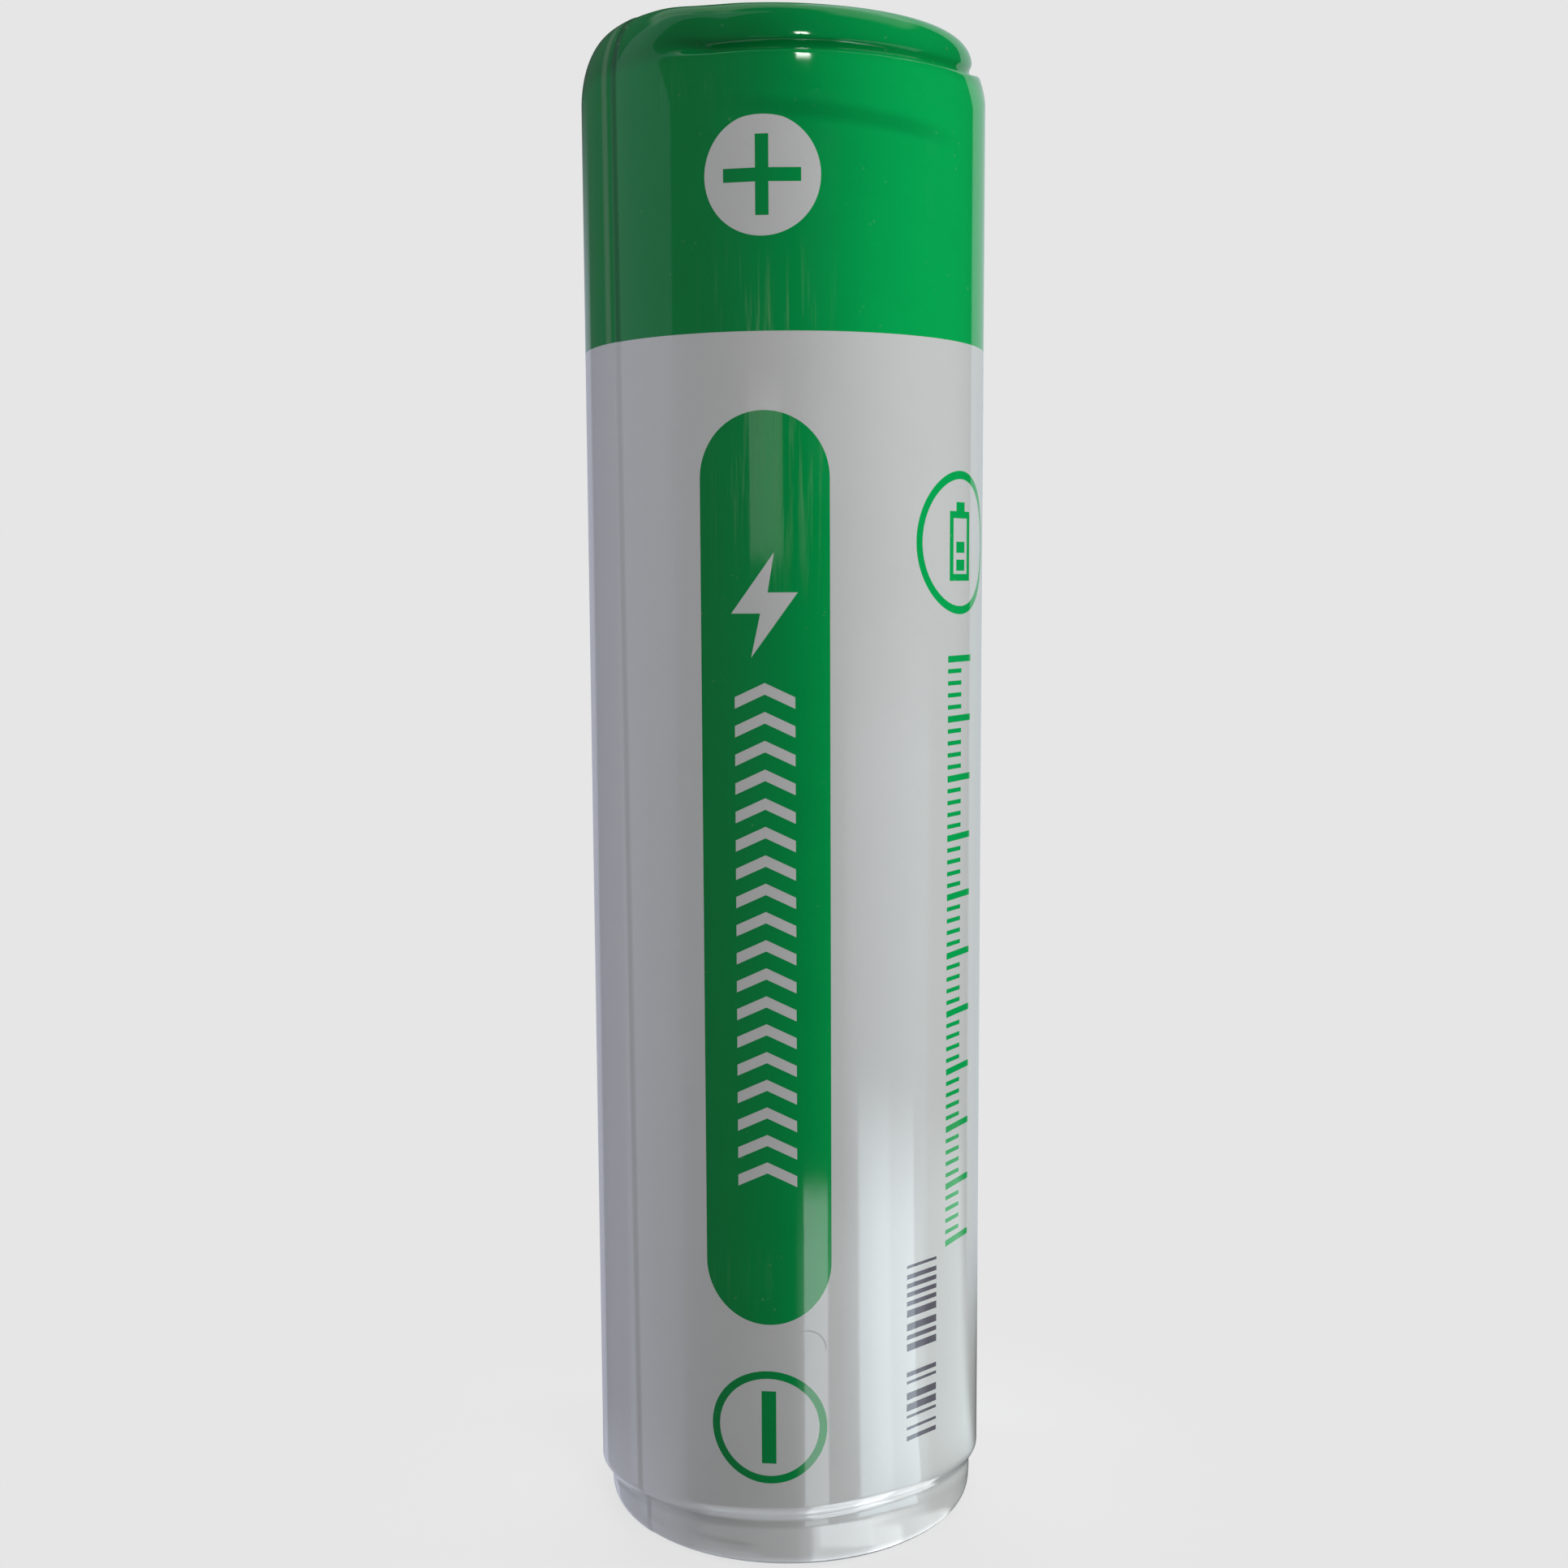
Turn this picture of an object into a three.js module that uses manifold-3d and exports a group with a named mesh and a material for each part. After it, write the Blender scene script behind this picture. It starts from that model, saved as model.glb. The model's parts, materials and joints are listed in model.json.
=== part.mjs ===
// A protected cylindrical lithium-ion cell of the 18650 size, in millimetres, +Z up.
// The negative contact rests on z = 0, the cell's axis is Z, and the label faces -Y.
// Angles are in degrees about Z, counted from -Y towards +X.
import * as THREE from "three";
import Module from "manifold-3d";

const wasm = await Module();
wasm.setup();

// Overall sizes
const CELL_HEIGHT = 70.2;
const SLEEVE_RADIUS = 9.3;
const SLEEVE_TOP = 69.2;
const FILM = 0.14;

// Gaps between pieces that touch, are soldered or are welded on the real cell
const MOUNTING_GAP = 0.02;
const WELD_GAP = 0.05;

// Steel can, with the bead groove below its crimped rim
const CAN_RADIUS = 8.98;
const CAN_WALL = 0.25;
const CAN_BOTTOM = 2.75;
const CAN_TOP = SLEEVE_TOP - 0.47;
const CAN_CORNER = 0.975;
const GROOVE_RADIUS = 7.75;
const GROOVE_Z = CAN_TOP - 2.35;
const CRIMP_RADIUS = 8.36;
const CRIMP_FOLD = 0.45;
const CRIMP_OPENING_RADIUS = 6.9;

// Outer sleeve
const LIP_RADIUS = 8.6;
const LIP_FILLET = 0.8;
const CREASE_RADIUS = 8.52;
const CREASE_Z = SLEEVE_TOP - 2.42;
const SHOULDER_Z = CREASE_Z - 1.25;
const LEDGE_LOW_Z = 1.85;
const LEDGE_HIGH_Z = 2.65;
const LEDGE_TILT = 0.4;
const LEDGE_TILT_FADE = 6;
const FOOT_RADIUS = 8.78;
const FOOT_FILLET = 0.9;
const FOOT_Z = 0.12;
const TOP_OPENING_RADIUS = 6.2;
const BOTTOM_OPENING_RADIUS = 6.5;

// Conductor that runs down the side under the sleeve, on its own tape
const STRIP_ANGLE = -72;
const STRIP_WIDTH = 4;
const STRIP_THICKNESS = 0.1;
const STRIP_SIDE_RADIUS = 9.135;
const STRIP_LIP_RADIUS = 8.51;
const STRIP_LIP_Z = CAN_TOP + 0.15;
const STRIP_FLAT_UNTIL = 3;
const TAPE_WIDTH = 5.4;
const TAPE_THICKNESS = 0.06;
const TAPE_OFFSET = 0.055;
const RIDGE_HALF_ANGLE = 18;
const RIDGE_FADE_ANGLE = 9;
const RIDGE_LIFT = 0.07;
const RIDGE_LIP_LIFT = 0.16;

// Closure stack inside the crimp
const STACK_RADIUS = 7.72;
const GASKET_THICKNESS = 0.2;
const GASKET_RADIUS = 7.93;
const GASKET_LOW_Z = CAN_TOP - 1.43;
const GASKET_HIGH_Z = CAN_TOP - 0.39;
const CAP_SHEET = 0.25;
const CAP_DOME_RADIUS = 4.3;
const CAP_DOME_Z = CAN_TOP - 0.23;
const CAP_FLANGE_Z = CAN_TOP - 0.675;
const CAP_SLOTS = 3;
const PTC_INNER_RADIUS = 5.2;
const PTC_BOTTOM = CAN_TOP - 1.07;
const PTC_THICKNESS = 0.25;
const VENT_SHEET = 0.2;
const VENT_Z = CAN_TOP - 1.19;
const VENT_DIMPLE_Z = CAN_TOP - 1.55;
const COLLECTOR_RADIUS = 6.2;
const COLLECTOR_SHEET = 0.2;
const COLLECTOR_TOP = VENT_DIMPLE_Z - VENT_SHEET / 2 - MOUNTING_GAP;
const GAS_HOLES = 6;
const GAS_HOLE_RADIUS = 0.55;

// Positive contact
const BUTTON_SHEET = 0.2;
const BUTTON_RADIUS = 2.95;
const BUTTON_FLANGE_RADIUS = 3.9;
const BUTTON_FLANGE_Z = CAN_TOP + 0.17;
const TOP_RING_INNER_RADIUS = 4.1;
const TOP_RING_OUTER_RADIUS = 7.7;

// Wound electrodes, at several times their real thickness
const CORE_RADIUS = 1.75;
const ELECTRODE_SHEET = 0.42;
const SEPARATOR_SHEET = 0.18;
const WINDING_TAPE_SHEET = 0.06;
const WINDING_GAP = 0.05;
const STEPS_PER_TURN = 22;
const WINDING_STEPS = 85;
const ROLL_BOTTOM = CAN_BOTTOM + 1;
const ROLL_TOP = GROOVE_Z - 3;
const PIN_OUTER_RADIUS = 1.5;
const PIN_INNER_RADIUS = 1.3;
const TAB_THICKNESS = 0.12;
const TAB_WIDTH = 3.5;
const INSULATOR_SHEET = 0.15;

// Protection board and negative contact
const BOARD_RADIUS = 8.3;
const BOARD_BOTTOM = 0.65;
const BOARD_TOP = BOARD_BOTTOM + 0.6;
const SPACER_WALL = 1;
const PLATE_SHEET = 0.3;
const PLATE_FACE_RADIUS = 5.5;
const PLATE_RIM_RADIUS = 7.4;
const PLATE_RIM_Z = PLATE_SHEET * 1.5 - MOUNTING_GAP;

const SLEEVE_SEGMENTS = 40;
const ROUND_SEGMENTS = 32;
const ARC_STEPS = 2;
const SLEEVE_ARC_STEPS = 3;
const STRIP_STEPS = 4;
const QUARTER_TURN = Math.PI / 2;

const cell = new THREE.Group();

// ---------------------------------------------------------------- finishes

function finish(color, roughness, metalness) {
  return new THREE.MeshStandardMaterial({ color, roughness, metalness });
}

const FINISHES = {
  printedFilm: finish(0xb4b6b8, 0.25, 0),
  fibrePaper: finish(0xe8e4da, 0.8, 0),
  nickel: finish(0xc4c2bc, 0.28, 1),
  steel: finish(0xa9abad, 0.35, 1),
  aluminium: finish(0xcfd1d3, 0.4, 1),
  polymerCarbon: finish(0x262628, 0.7, 0),
  polypropylene: finish(0xd9dde0, 0.45, 0),
  amberTape: finish(0xb9892c, 0.35, 0),
  blueTape: finish(0x2f63a8, 0.4, 0),
  graphiteFoil: finish(0x3a3634, 0.65, 0),
  oxideFoil: finish(0x202124, 0.75, 0),
  separatorFilm: finish(0xf2f3f1, 0.5, 0),
  boardMask: finish(0x1d5a37, 0.45, 0),
  chipBlack: finish(0x1b1b1d, 0.55, 0),
  ceramicTan: finish(0x9c7a55, 0.6, 0),
};

function add(name, geometry, material) {
  const mesh = new THREE.Mesh(geometry, material);
  mesh.name = name;
  cell.add(mesh);
}

// ---------------------------------------------------------------- outlines

// A run of straight lines through [radius, z, fillet] corners, with each fillet as an arc.
function rounded(corners, arcSteps = ARC_STEPS) {
  const path = [];
  corners.forEach(([radius, z, fillet], index) => {
    const corner = new THREE.Vector2(radius, z);
    if (!fillet) {
      path.push(corner);
      return;
    }
    const back = new THREE.Vector2(...corners[index - 1]).sub(corner).normalize();
    const ahead = new THREE.Vector2(...corners[index + 1]).sub(corner).normalize();
    const halfAngle = Math.acos(back.dot(ahead)) / 2;
    const inward = back.clone().add(ahead).normalize();
    const centre = corner.clone().addScaledVector(inward, fillet / Math.sin(halfAngle));
    const reach = fillet / Math.tan(halfAngle);
    const start = corner.clone().addScaledVector(back, reach).sub(centre);
    const end = corner.clone().addScaledVector(ahead, reach).sub(centre);
    const sweep = Math.atan2(start.cross(end), start.dot(end));
    for (let step = 0; step <= arcSteps; step += 1) {
      const spoke = start.clone().rotateAround(new THREE.Vector2(), (sweep * step) / arcSteps);
      path.push(spoke.add(centre));
    }
  });
  return path;
}

// The closed outline of a sheet that follows the path, half its thickness on each side.
function sheetOutline(path, thickness) {
  const near = [];
  const far = [];
  path.forEach((point, index) => {
    const before = path[Math.max(index - 1, 0)];
    const after = path[Math.min(index + 1, path.length - 1)];
    const arriving = point === before ? after.clone().sub(point) : point.clone().sub(before);
    const leaving = point === after ? arriving.clone() : after.clone().sub(point);
    arriving.normalize();
    leaving.normalize();
    const mitre = arriving.clone().add(leaving).normalize();
    const halfWidth = thickness / 2 / mitre.dot(arriving);
    const normal = new THREE.Vector2(-mitre.y, mitre.x);
    near.push(point.clone().addScaledVector(normal, halfWidth));
    far.push(point.clone().addScaledVector(normal, -halfWidth));
  });
  return [...near, ...far.reverse()];
}

// ---------------------------------------------------------------- solids

function isOnAxis(point) {
  return Math.abs(point.x) < 1e-9;
}

// Turns an outline of [radius, z] points about Z, facing out whichever way it is listed.
function turned(outline, segments = ROUND_SEGMENTS) {
  const profile = THREE.ShapeUtils.area(outline) > 0 ? [...outline] : [...outline].reverse();
  if (profile.some(isOnAxis)) {
    while (!(isOnAxis(profile[0]) && isOnAxis(profile[profile.length - 1]))) {
      profile.push(profile.shift());
    }
  } else {
    profile.push(profile[0].clone());
  }
  const geometry = new THREE.LatheGeometry(profile, segments);
  geometry.rotateX(QUARTER_TURN);
  return geometry;
}

function turnedSheet(corners, thickness) {
  return turned(sheetOutline(rounded(corners), thickness));
}

function ring(innerRadius, outerRadius, bottom, top) {
  const outline = [
    new THREE.Vector2(innerRadius, bottom),
    new THREE.Vector2(outerRadius, bottom),
    new THREE.Vector2(outerRadius, top),
    new THREE.Vector2(innerRadius, top),
  ];
  return turned(outline);
}

function block(width, depth, height, x, y, z) {
  const geometry = new THREE.BoxGeometry(width, depth, height);
  geometry.translate(x, y, z);
  return geometry;
}

// A flat conductor or tape whose [distance, z] path lies in the plane at the given angle.
// Its face is curved to match the cell where it runs further out than flatUntil.
function strip(corners, width, thickness, angle, flatUntil = CAN_RADIUS) {
  const shape = new THREE.Shape(sheetOutline(rounded(corners), thickness));
  const settings = { depth: width, steps: STRIP_STEPS, bevelEnabled: false };
  const geometry = new THREE.ExtrudeGeometry(shape, settings);
  geometry.translate(0, 0, -width / 2);
  geometry.rotateX(QUARTER_TURN);
  const place = geometry.attributes.position;
  for (let i = 0; i < place.count; i += 1) {
    const distance = place.getX(i);
    const sagitta = distance - Math.sqrt(Math.max(distance ** 2 - place.getY(i) ** 2, 0));
    const curved = THREE.MathUtils.smoothstep(distance, flatUntil, flatUntil + width);
    place.setX(i, distance - sagitta * curved);
  }
  geometry.rotateZ(THREE.MathUtils.degToRad(angle) - QUARTER_TURN);
  return geometry;
}

// ---------------------------------------------------------------- joining and cutting

function toManifold(geometry) {
  const place = geometry.toNonIndexed().attributes.position;
  const corners = new Map();
  const vertProperties = [];
  const triVerts = [];
  for (let i = 0; i < place.count; i += 3) {
    const triangle = [0, 1, 2].map((k) => {
      const point = [place.getX(i + k), place.getY(i + k), place.getZ(i + k)];
      const key = point.map((value) => Math.round(value * 1e5)).join();
      if (!corners.has(key)) {
        corners.set(key, corners.size);
        vertProperties.push(...point);
      }
      return corners.get(key);
    });
    if (new Set(triangle).size === 3) {
      triVerts.push(...triangle);
    }
  }
  const mesh = new wasm.Mesh({
    numProp: 3,
    vertProperties: new Float32Array(vertProperties),
    triVerts: new Uint32Array(triVerts),
  });
  return new wasm.Manifold(mesh);
}

function fromManifold(solid) {
  const mesh = solid.getMesh();
  const geometry = new THREE.BufferGeometry();
  geometry.setAttribute("position", new THREE.BufferAttribute(mesh.vertProperties, 3));
  geometry.setIndex(new THREE.BufferAttribute(mesh.triVerts, 1));
  geometry.computeVertexNormals();
  return geometry;
}

function cut(geometry, cutters) {
  const whole = toManifold(geometry);
  return fromManifold(cutters.map(toManifold).reduce((left, cutter) => left.subtract(cutter), whole));
}

function join(pieces) {
  return fromManifold(pieces.map(toManifold).reduce((whole, piece) => whole.add(piece)));
}

// Copies of one solid, turned evenly about Z.
function around(count, geometry) {
  return Array.from({ length: count }, (_, index) => {
    const copy = geometry.clone();
    copy.rotateZ((2 * Math.PI * index) / count);
    return copy;
  });
}

// ---------------------------------------------------------------- outer sleeve

// How much of the ridge over the conductor shows at an angle: 1 over it, 0 away from it.
function ridgeShare(x, y) {
  const angle = THREE.MathUtils.radToDeg(Math.atan2(x, -y));
  const away = Math.abs(angle - STRIP_ANGLE);
  return 1 - THREE.MathUtils.smoothstep(away, RIDGE_HALF_ANGLE, RIDGE_HALF_ANGLE + RIDGE_FADE_ANGLE);
}

// The film bridges the crease in a straight line where the conductor holds it out.
function ridgeLift(radius, z) {
  const lipZ = SLEEVE_TOP - LIP_FILLET;
  const along = THREE.MathUtils.clamp((z - SHOULDER_Z) / (lipZ - SHOULDER_Z), 0, 1);
  const bridge = THREE.MathUtils.lerp(SLEEVE_RADIUS + RIDGE_LIFT, LIP_RADIUS + RIDGE_LIP_LIFT, along);
  const plain = THREE.MathUtils.lerp(RIDGE_LIFT, RIDGE_LIP_LIFT, along);
  const onSide = THREE.MathUtils.smoothstep(radius, TOP_OPENING_RADIUS, LIP_RADIUS - LIP_FILLET);
  const overCrease = along > 0 && along < 1 ? bridge - FILM - radius : 0;
  return Math.max(plain, overCrease) * onSide;
}

// The ledge over the can's bottom sits higher on +X than on -X.
function ledgeTilt(x, radius, z) {
  const rising = THREE.MathUtils.smoothstep(z, FOOT_Z + FOOT_FILLET, LEDGE_LOW_Z);
  const fading = 1 - THREE.MathUtils.smoothstep(z, LEDGE_HIGH_Z + 1, LEDGE_HIGH_Z + LEDGE_TILT_FADE);
  return (LEDGE_TILT * x * rising * fading) / radius;
}

function drape(geometry) {
  const place = geometry.attributes.position;
  for (let i = 0; i < place.count; i += 1) {
    const [x, y, z] = [place.getX(i), place.getY(i), place.getZ(i)];
    const radius = Math.hypot(x, y);
    const spread = 1 + (ridgeLift(radius, z) * ridgeShare(x, y)) / radius;
    place.setXYZ(i, x * spread, y * spread, z + ledgeTilt(x, radius, z));
  }
  geometry.computeVertexNormals();
  return geometry;
}

function outerSleeve() {
  const half = FILM / 2;
  const corners = [
    [BOTTOM_OPENING_RADIUS, FOOT_Z + half],
    [FOOT_RADIUS - half, FOOT_Z + half, FOOT_FILLET],
    [FOOT_RADIUS - half, LEDGE_LOW_Z, 0.4],
    [SLEEVE_RADIUS - half, LEDGE_HIGH_Z, 0.6],
    [SLEEVE_RADIUS - half, LEDGE_HIGH_Z + LEDGE_TILT_FADE],
    [SLEEVE_RADIUS - half, SHOULDER_Z, 1],
    [CREASE_RADIUS - half, CREASE_Z, 0.35],
    [LIP_RADIUS - half, CREASE_Z + 0.5],
    [LIP_RADIUS - half, SLEEVE_TOP - half, LIP_FILLET],
    [TOP_OPENING_RADIUS, SLEEVE_TOP - half],
  ];
  const outline = sheetOutline(rounded(corners, SLEEVE_ARC_STEPS), FILM);
  add("outer_sleeve", drape(turned(outline, SLEEVE_SEGMENTS)), FINISHES.printedFilm);
}

// ---------------------------------------------------------------- side conductor

function sideConductor() {
  const bend = 0.5;
  const lipZ = CAN_TOP - 0.6;
  const shoulderZ = SHOULDER_Z - 0.2;
  const tape = [
    [CRIMP_OPENING_RADIUS - 0.7, CAN_TOP + WELD_GAP],
    [CRIMP_RADIUS + WELD_GAP, CAN_TOP + WELD_GAP, bend],
    [CRIMP_RADIUS + WELD_GAP, lipZ, bend],
    [CAN_RADIUS + TAPE_OFFSET, shoulderZ, 2 * bend],
    [CAN_RADIUS + TAPE_OFFSET, CAN_BOTTOM + 1.5],
  ];
  const tapeSolid = strip(tape, TAPE_WIDTH, TAPE_THICKNESS, STRIP_ANGLE, STRIP_FLAT_UNTIL);
  add("strip_insulation", tapeSolid, FINISHES.amberTape);

  const capZ = CAP_DOME_Z + CAP_SHEET / 2 + STRIP_THICKNESS / 2 + MOUNTING_GAP;
  const boardEdge = BOARD_RADIUS + 0.12;
  const conductor = [
    [1.2, capZ],
    [CAP_DOME_RADIUS + 0.4, capZ, 0.3],
    [6.2, STRIP_LIP_Z, 0.3],
    [STRIP_LIP_RADIUS, STRIP_LIP_Z, bend],
    [STRIP_LIP_RADIUS, lipZ, bend],
    [STRIP_SIDE_RADIUS, shoulderZ, 2 * bend],
    [STRIP_SIDE_RADIUS, CAN_BOTTOM + 0.6, bend],
    [boardEdge, CAN_BOTTOM - 0.4, bend],
    [boardEdge, BOARD_BOTTOM + 0.4],
  ];
  const conductorSolid = strip(conductor, STRIP_WIDTH, STRIP_THICKNESS, STRIP_ANGLE, STRIP_FLAT_UNTIL);
  add("side_strip", conductorSolid, FINISHES.nickel);
}

// ---------------------------------------------------------------- positive end

function positiveContact() {
  const buttonTop = CELL_HEIGHT - BUTTON_SHEET / 2;
  const button = [
    [0, buttonTop],
    [BUTTON_RADIUS - BUTTON_SHEET, buttonTop, 0.35],
    [BUTTON_RADIUS, BUTTON_FLANGE_Z, 0.2],
    [BUTTON_FLANGE_RADIUS, BUTTON_FLANGE_Z],
  ];
  add("positive_button", turnedSheet(button, BUTTON_SHEET), FINISHES.nickel);

  const ringBottom = STRIP_LIP_Z + STRIP_THICKNESS / 2 + MOUNTING_GAP;
  const ringTop = SLEEVE_TOP - FILM - MOUNTING_GAP;
  const topRing = ring(TOP_RING_INNER_RADIUS, TOP_RING_OUTER_RADIUS, ringBottom, ringTop);
  add("positive_insulator_ring", topRing, FINISHES.fibrePaper);
}

function closureStack() {
  const cap = [
    [0, CAP_DOME_Z],
    [CAP_DOME_RADIUS, CAP_DOME_Z, 0.3],
    [CAP_DOME_RADIUS + 0.8, CAP_FLANGE_Z, 0.3],
    [STACK_RADIUS, CAP_FLANGE_Z],
  ];
  const slot = block(1.1, 2.6, 0.5, CAP_DOME_RADIUS + 0.45, 0, (CAP_DOME_Z + CAP_FLANGE_Z) / 2);
  add("top_cap", cut(turnedSheet(cap, CAP_SHEET), around(CAP_SLOTS, slot)), FINISHES.steel);

  const ptc = ring(PTC_INNER_RADIUS, STACK_RADIUS, PTC_BOTTOM, PTC_BOTTOM + PTC_THICKNESS);
  add("ptc_ring", ptc, FINISHES.polymerCarbon);

  const vent = [
    [0, VENT_DIMPLE_Z],
    [1.5, VENT_DIMPLE_Z, 0.4],
    [2.6, VENT_Z, 0.4],
    [STACK_RADIUS, VENT_Z],
  ];
  add("vent_disc", turnedSheet(vent, VENT_SHEET), FINISHES.aluminium);

  const ventUnderside = VENT_Z - VENT_SHEET / 2 - MOUNTING_GAP;
  const ventRing = ring(4.6, COLLECTOR_RADIUS, COLLECTOR_TOP + MOUNTING_GAP, ventUnderside);
  add("vent_insulator", ventRing, FINISHES.polypropylene);

  const collectorBottom = COLLECTOR_TOP - COLLECTOR_SHEET;
  const gasHole = new THREE.CylinderGeometry(GAS_HOLE_RADIUS, GAS_HOLE_RADIUS, 1, 12);
  gasHole.rotateX(QUARTER_TURN);
  gasHole.translate(COLLECTOR_RADIUS / 2, 0, collectorBottom);
  const collector = ring(0.5, COLLECTOR_RADIUS, collectorBottom, COLLECTOR_TOP);
  add("collector_plate", cut(collector, around(GAS_HOLES, gasHole)), FINISHES.aluminium);

  const gasket = [
    [COLLECTOR_RADIUS + 0.25, GASKET_LOW_Z],
    [GASKET_RADIUS, GASKET_LOW_Z, 0.25],
    [GASKET_RADIUS, GASKET_HIGH_Z, 0.25],
    [CRIMP_OPENING_RADIUS + 0.1, GASKET_HIGH_Z],
  ];
  add("crimp_gasket", turnedSheet(gasket, GASKET_THICKNESS), FINISHES.polypropylene);
}

// ---------------------------------------------------------------- can

function steelCan() {
  const half = CAN_WALL / 2;
  const corners = [
    [0, CAN_BOTTOM + half],
    [CAN_RADIUS - half, CAN_BOTTOM + half, CAN_CORNER],
    [CAN_RADIUS - half, GROOVE_Z - 0.65, 0.4],
    [GROOVE_RADIUS, GROOVE_Z - 0.25, 0.25],
    [GROOVE_RADIUS, GROOVE_Z + 0.25, 0.25],
    [CRIMP_RADIUS - half, GROOVE_Z + 0.6, 0.3],
    [CRIMP_RADIUS - half, CAN_TOP - half, CRIMP_FOLD],
    [CRIMP_OPENING_RADIUS, CAN_TOP - half],
  ];
  add("steel_can", turnedSheet(corners, CAN_WALL), FINISHES.steel);
}

// ---------------------------------------------------------------- wound roll

// One sheet of the roll, wound between two steps of the spiral at its own depth in the stack.
function woundSheet(depth, thickness, firstStep, lastStep, inset) {
  const pitch = 2 * (ELECTRODE_SHEET + SEPARATOR_SHEET) + 4 * WINDING_GAP;
  const inner = [];
  const outer = [];
  for (let step = firstStep; step <= lastStep; step += 1) {
    const turn = step / STEPS_PER_TURN;
    const radius = CORE_RADIUS + depth + turn * pitch;
    const spoke = new THREE.Vector2(Math.cos(2 * Math.PI * turn), Math.sin(2 * Math.PI * turn));
    inner.push(spoke.clone().multiplyScalar(radius));
    outer.push(spoke.clone().multiplyScalar(radius + thickness));
  }
  const shape = new THREE.Shape([...inner, ...outer.reverse()]);
  const height = ROLL_TOP - ROLL_BOTTOM - 2 * inset;
  const geometry = new THREE.ExtrudeGeometry(shape, { depth: height, bevelEnabled: false });
  geometry.translate(0, 0, ROLL_BOTTOM + inset);
  return geometry;
}

function woundRoll() {
  const electrodeStep = ELECTRODE_SHEET + WINDING_GAP;
  const separatorStep = SEPARATOR_SHEET + WINDING_GAP;
  const cathodeDepth = electrodeStep + separatorStep;
  const outerDepth = cathodeDepth + electrodeStep;
  const tapeDepth = outerDepth + SEPARATOR_SHEET + WINDING_GAP / 2;
  const end = WINDING_STEPS;
  const anode = woundSheet(0, ELECTRODE_SHEET, 2, end - 2, 0.5);
  const cathode = woundSheet(cathodeDepth, ELECTRODE_SHEET, 5, end - 5, 1);
  const innerSeparator = woundSheet(electrodeStep, SEPARATOR_SHEET, 0, end, 0);
  const outerSeparator = woundSheet(outerDepth, SEPARATOR_SHEET, 0, end, 0);
  const tape = woundSheet(tapeDepth, WINDING_TAPE_SHEET, end - 10, end, 14);
  add("anode_sheet", anode, FINISHES.graphiteFoil);
  add("separator_inner", innerSeparator, FINISHES.separatorFilm);
  add("cathode_sheet", cathode, FINISHES.oxideFoil);
  add("separator_outer", outerSeparator, FINISHES.separatorFilm);
  add("winding_tape", tape, FINISHES.blueTape);
  const pin = ring(PIN_INNER_RADIUS, PIN_OUTER_RADIUS, ROLL_BOTTOM + 0.4, ROLL_TOP - 0.4);
  add("centre_pin", pin, FINISHES.steel);
}

function rollInsulators() {
  const topBottom = ROLL_TOP + 0.3;
  const tabSlot = block(1.2, TAB_WIDTH + 1.5, 1, 4.6, 0, topBottom);
  const topDisc = ring(1.6, BOARD_RADIUS, topBottom, topBottom + INSULATOR_SHEET);
  add("top_insulator", cut(topDisc, [tabSlot]), FINISHES.fibrePaper);

  const bottomBottom = CAN_BOTTOM + 0.5;
  const bottomDisc = ring(1.6, 7.3, bottomBottom, bottomBottom + INSULATOR_SHEET);
  add("bottom_insulator", bottomDisc, FINISHES.fibrePaper);
}

function electrodeTabs() {
  const cathodeTab = [
    [4.6, ROLL_TOP + WELD_GAP],
    [4.6, ROLL_TOP + 1.6, 0.5],
    [1.6, ROLL_TOP + 1.9, 0.4],
    [1.6, COLLECTOR_TOP - COLLECTOR_SHEET - 0.1, 0.3],
    [2.5, COLLECTOR_TOP - COLLECTOR_SHEET - 0.1],
  ];
  add("cathode_tab", strip(cathodeTab, TAB_WIDTH, TAB_THICKNESS, 90), FINISHES.aluminium);

  const canFloor = CAN_BOTTOM + CAN_WALL + 0.1;
  const anodeTab = [
    [-1.6, canFloor],
    [7.7, canFloor, 0.3],
    [7.7, ROLL_BOTTOM - WELD_GAP],
  ];
  add("anode_tab", strip(anodeTab, TAB_WIDTH, TAB_THICKNESS, 90), FINISHES.nickel);
}

// ---------------------------------------------------------------- protection board

// A chip body with a row of leads on each long side, standing on the board.
function chip(length, width, height, leadsPerSide, x, y) {
  const foot = BOARD_TOP + MOUNTING_GAP;
  const leadSize = 0.35;
  const standoff = 0.15;
  const bodyHeight = height - standoff;
  const leads = [];
  for (let lead = 0; lead < leadsPerSide; lead += 1) {
    const leadX = x + ((lead - (leadsPerSide - 1) / 2) * length) / (leadsPerSide + 0.5);
    for (const side of [-1, 1]) {
      const leadY = y + side * (width / 2 + 0.2);
      leads.push(block(leadSize, 1, leadSize, leadX, leadY, foot + leadSize / 2));
    }
  }
  return join([block(length, width, bodyHeight, x, y, foot + standoff + bodyHeight / 2), ...leads]);
}

function boardComponents() {
  add("protection_ic", chip(2.9, 1.6, 1.1, 3, -4, 0), FINISHES.chipBlack);
  add("mosfet_front", chip(4.4, 2.6, 1, 4, 0, -4.5), FINISHES.chipBlack);
  add("mosfet_rear", chip(4.4, 2.6, 1, 4, 0, 4.5), FINISHES.chipBlack);
  const foot = BOARD_TOP + MOUNTING_GAP;
  add("resistor_front", block(1.6, 0.8, 0.5, -4.5, -2.6, foot + 0.25), FINISHES.chipBlack);
  add("resistor_rear", block(1.6, 0.8, 0.5, -4.5, 2.6, foot + 0.25), FINISHES.chipBlack);
  add("chip_capacitor", block(0.8, 1.6, 0.7, 4.8, 0, foot + 0.35), FINISHES.ceramicTan);
}

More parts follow.
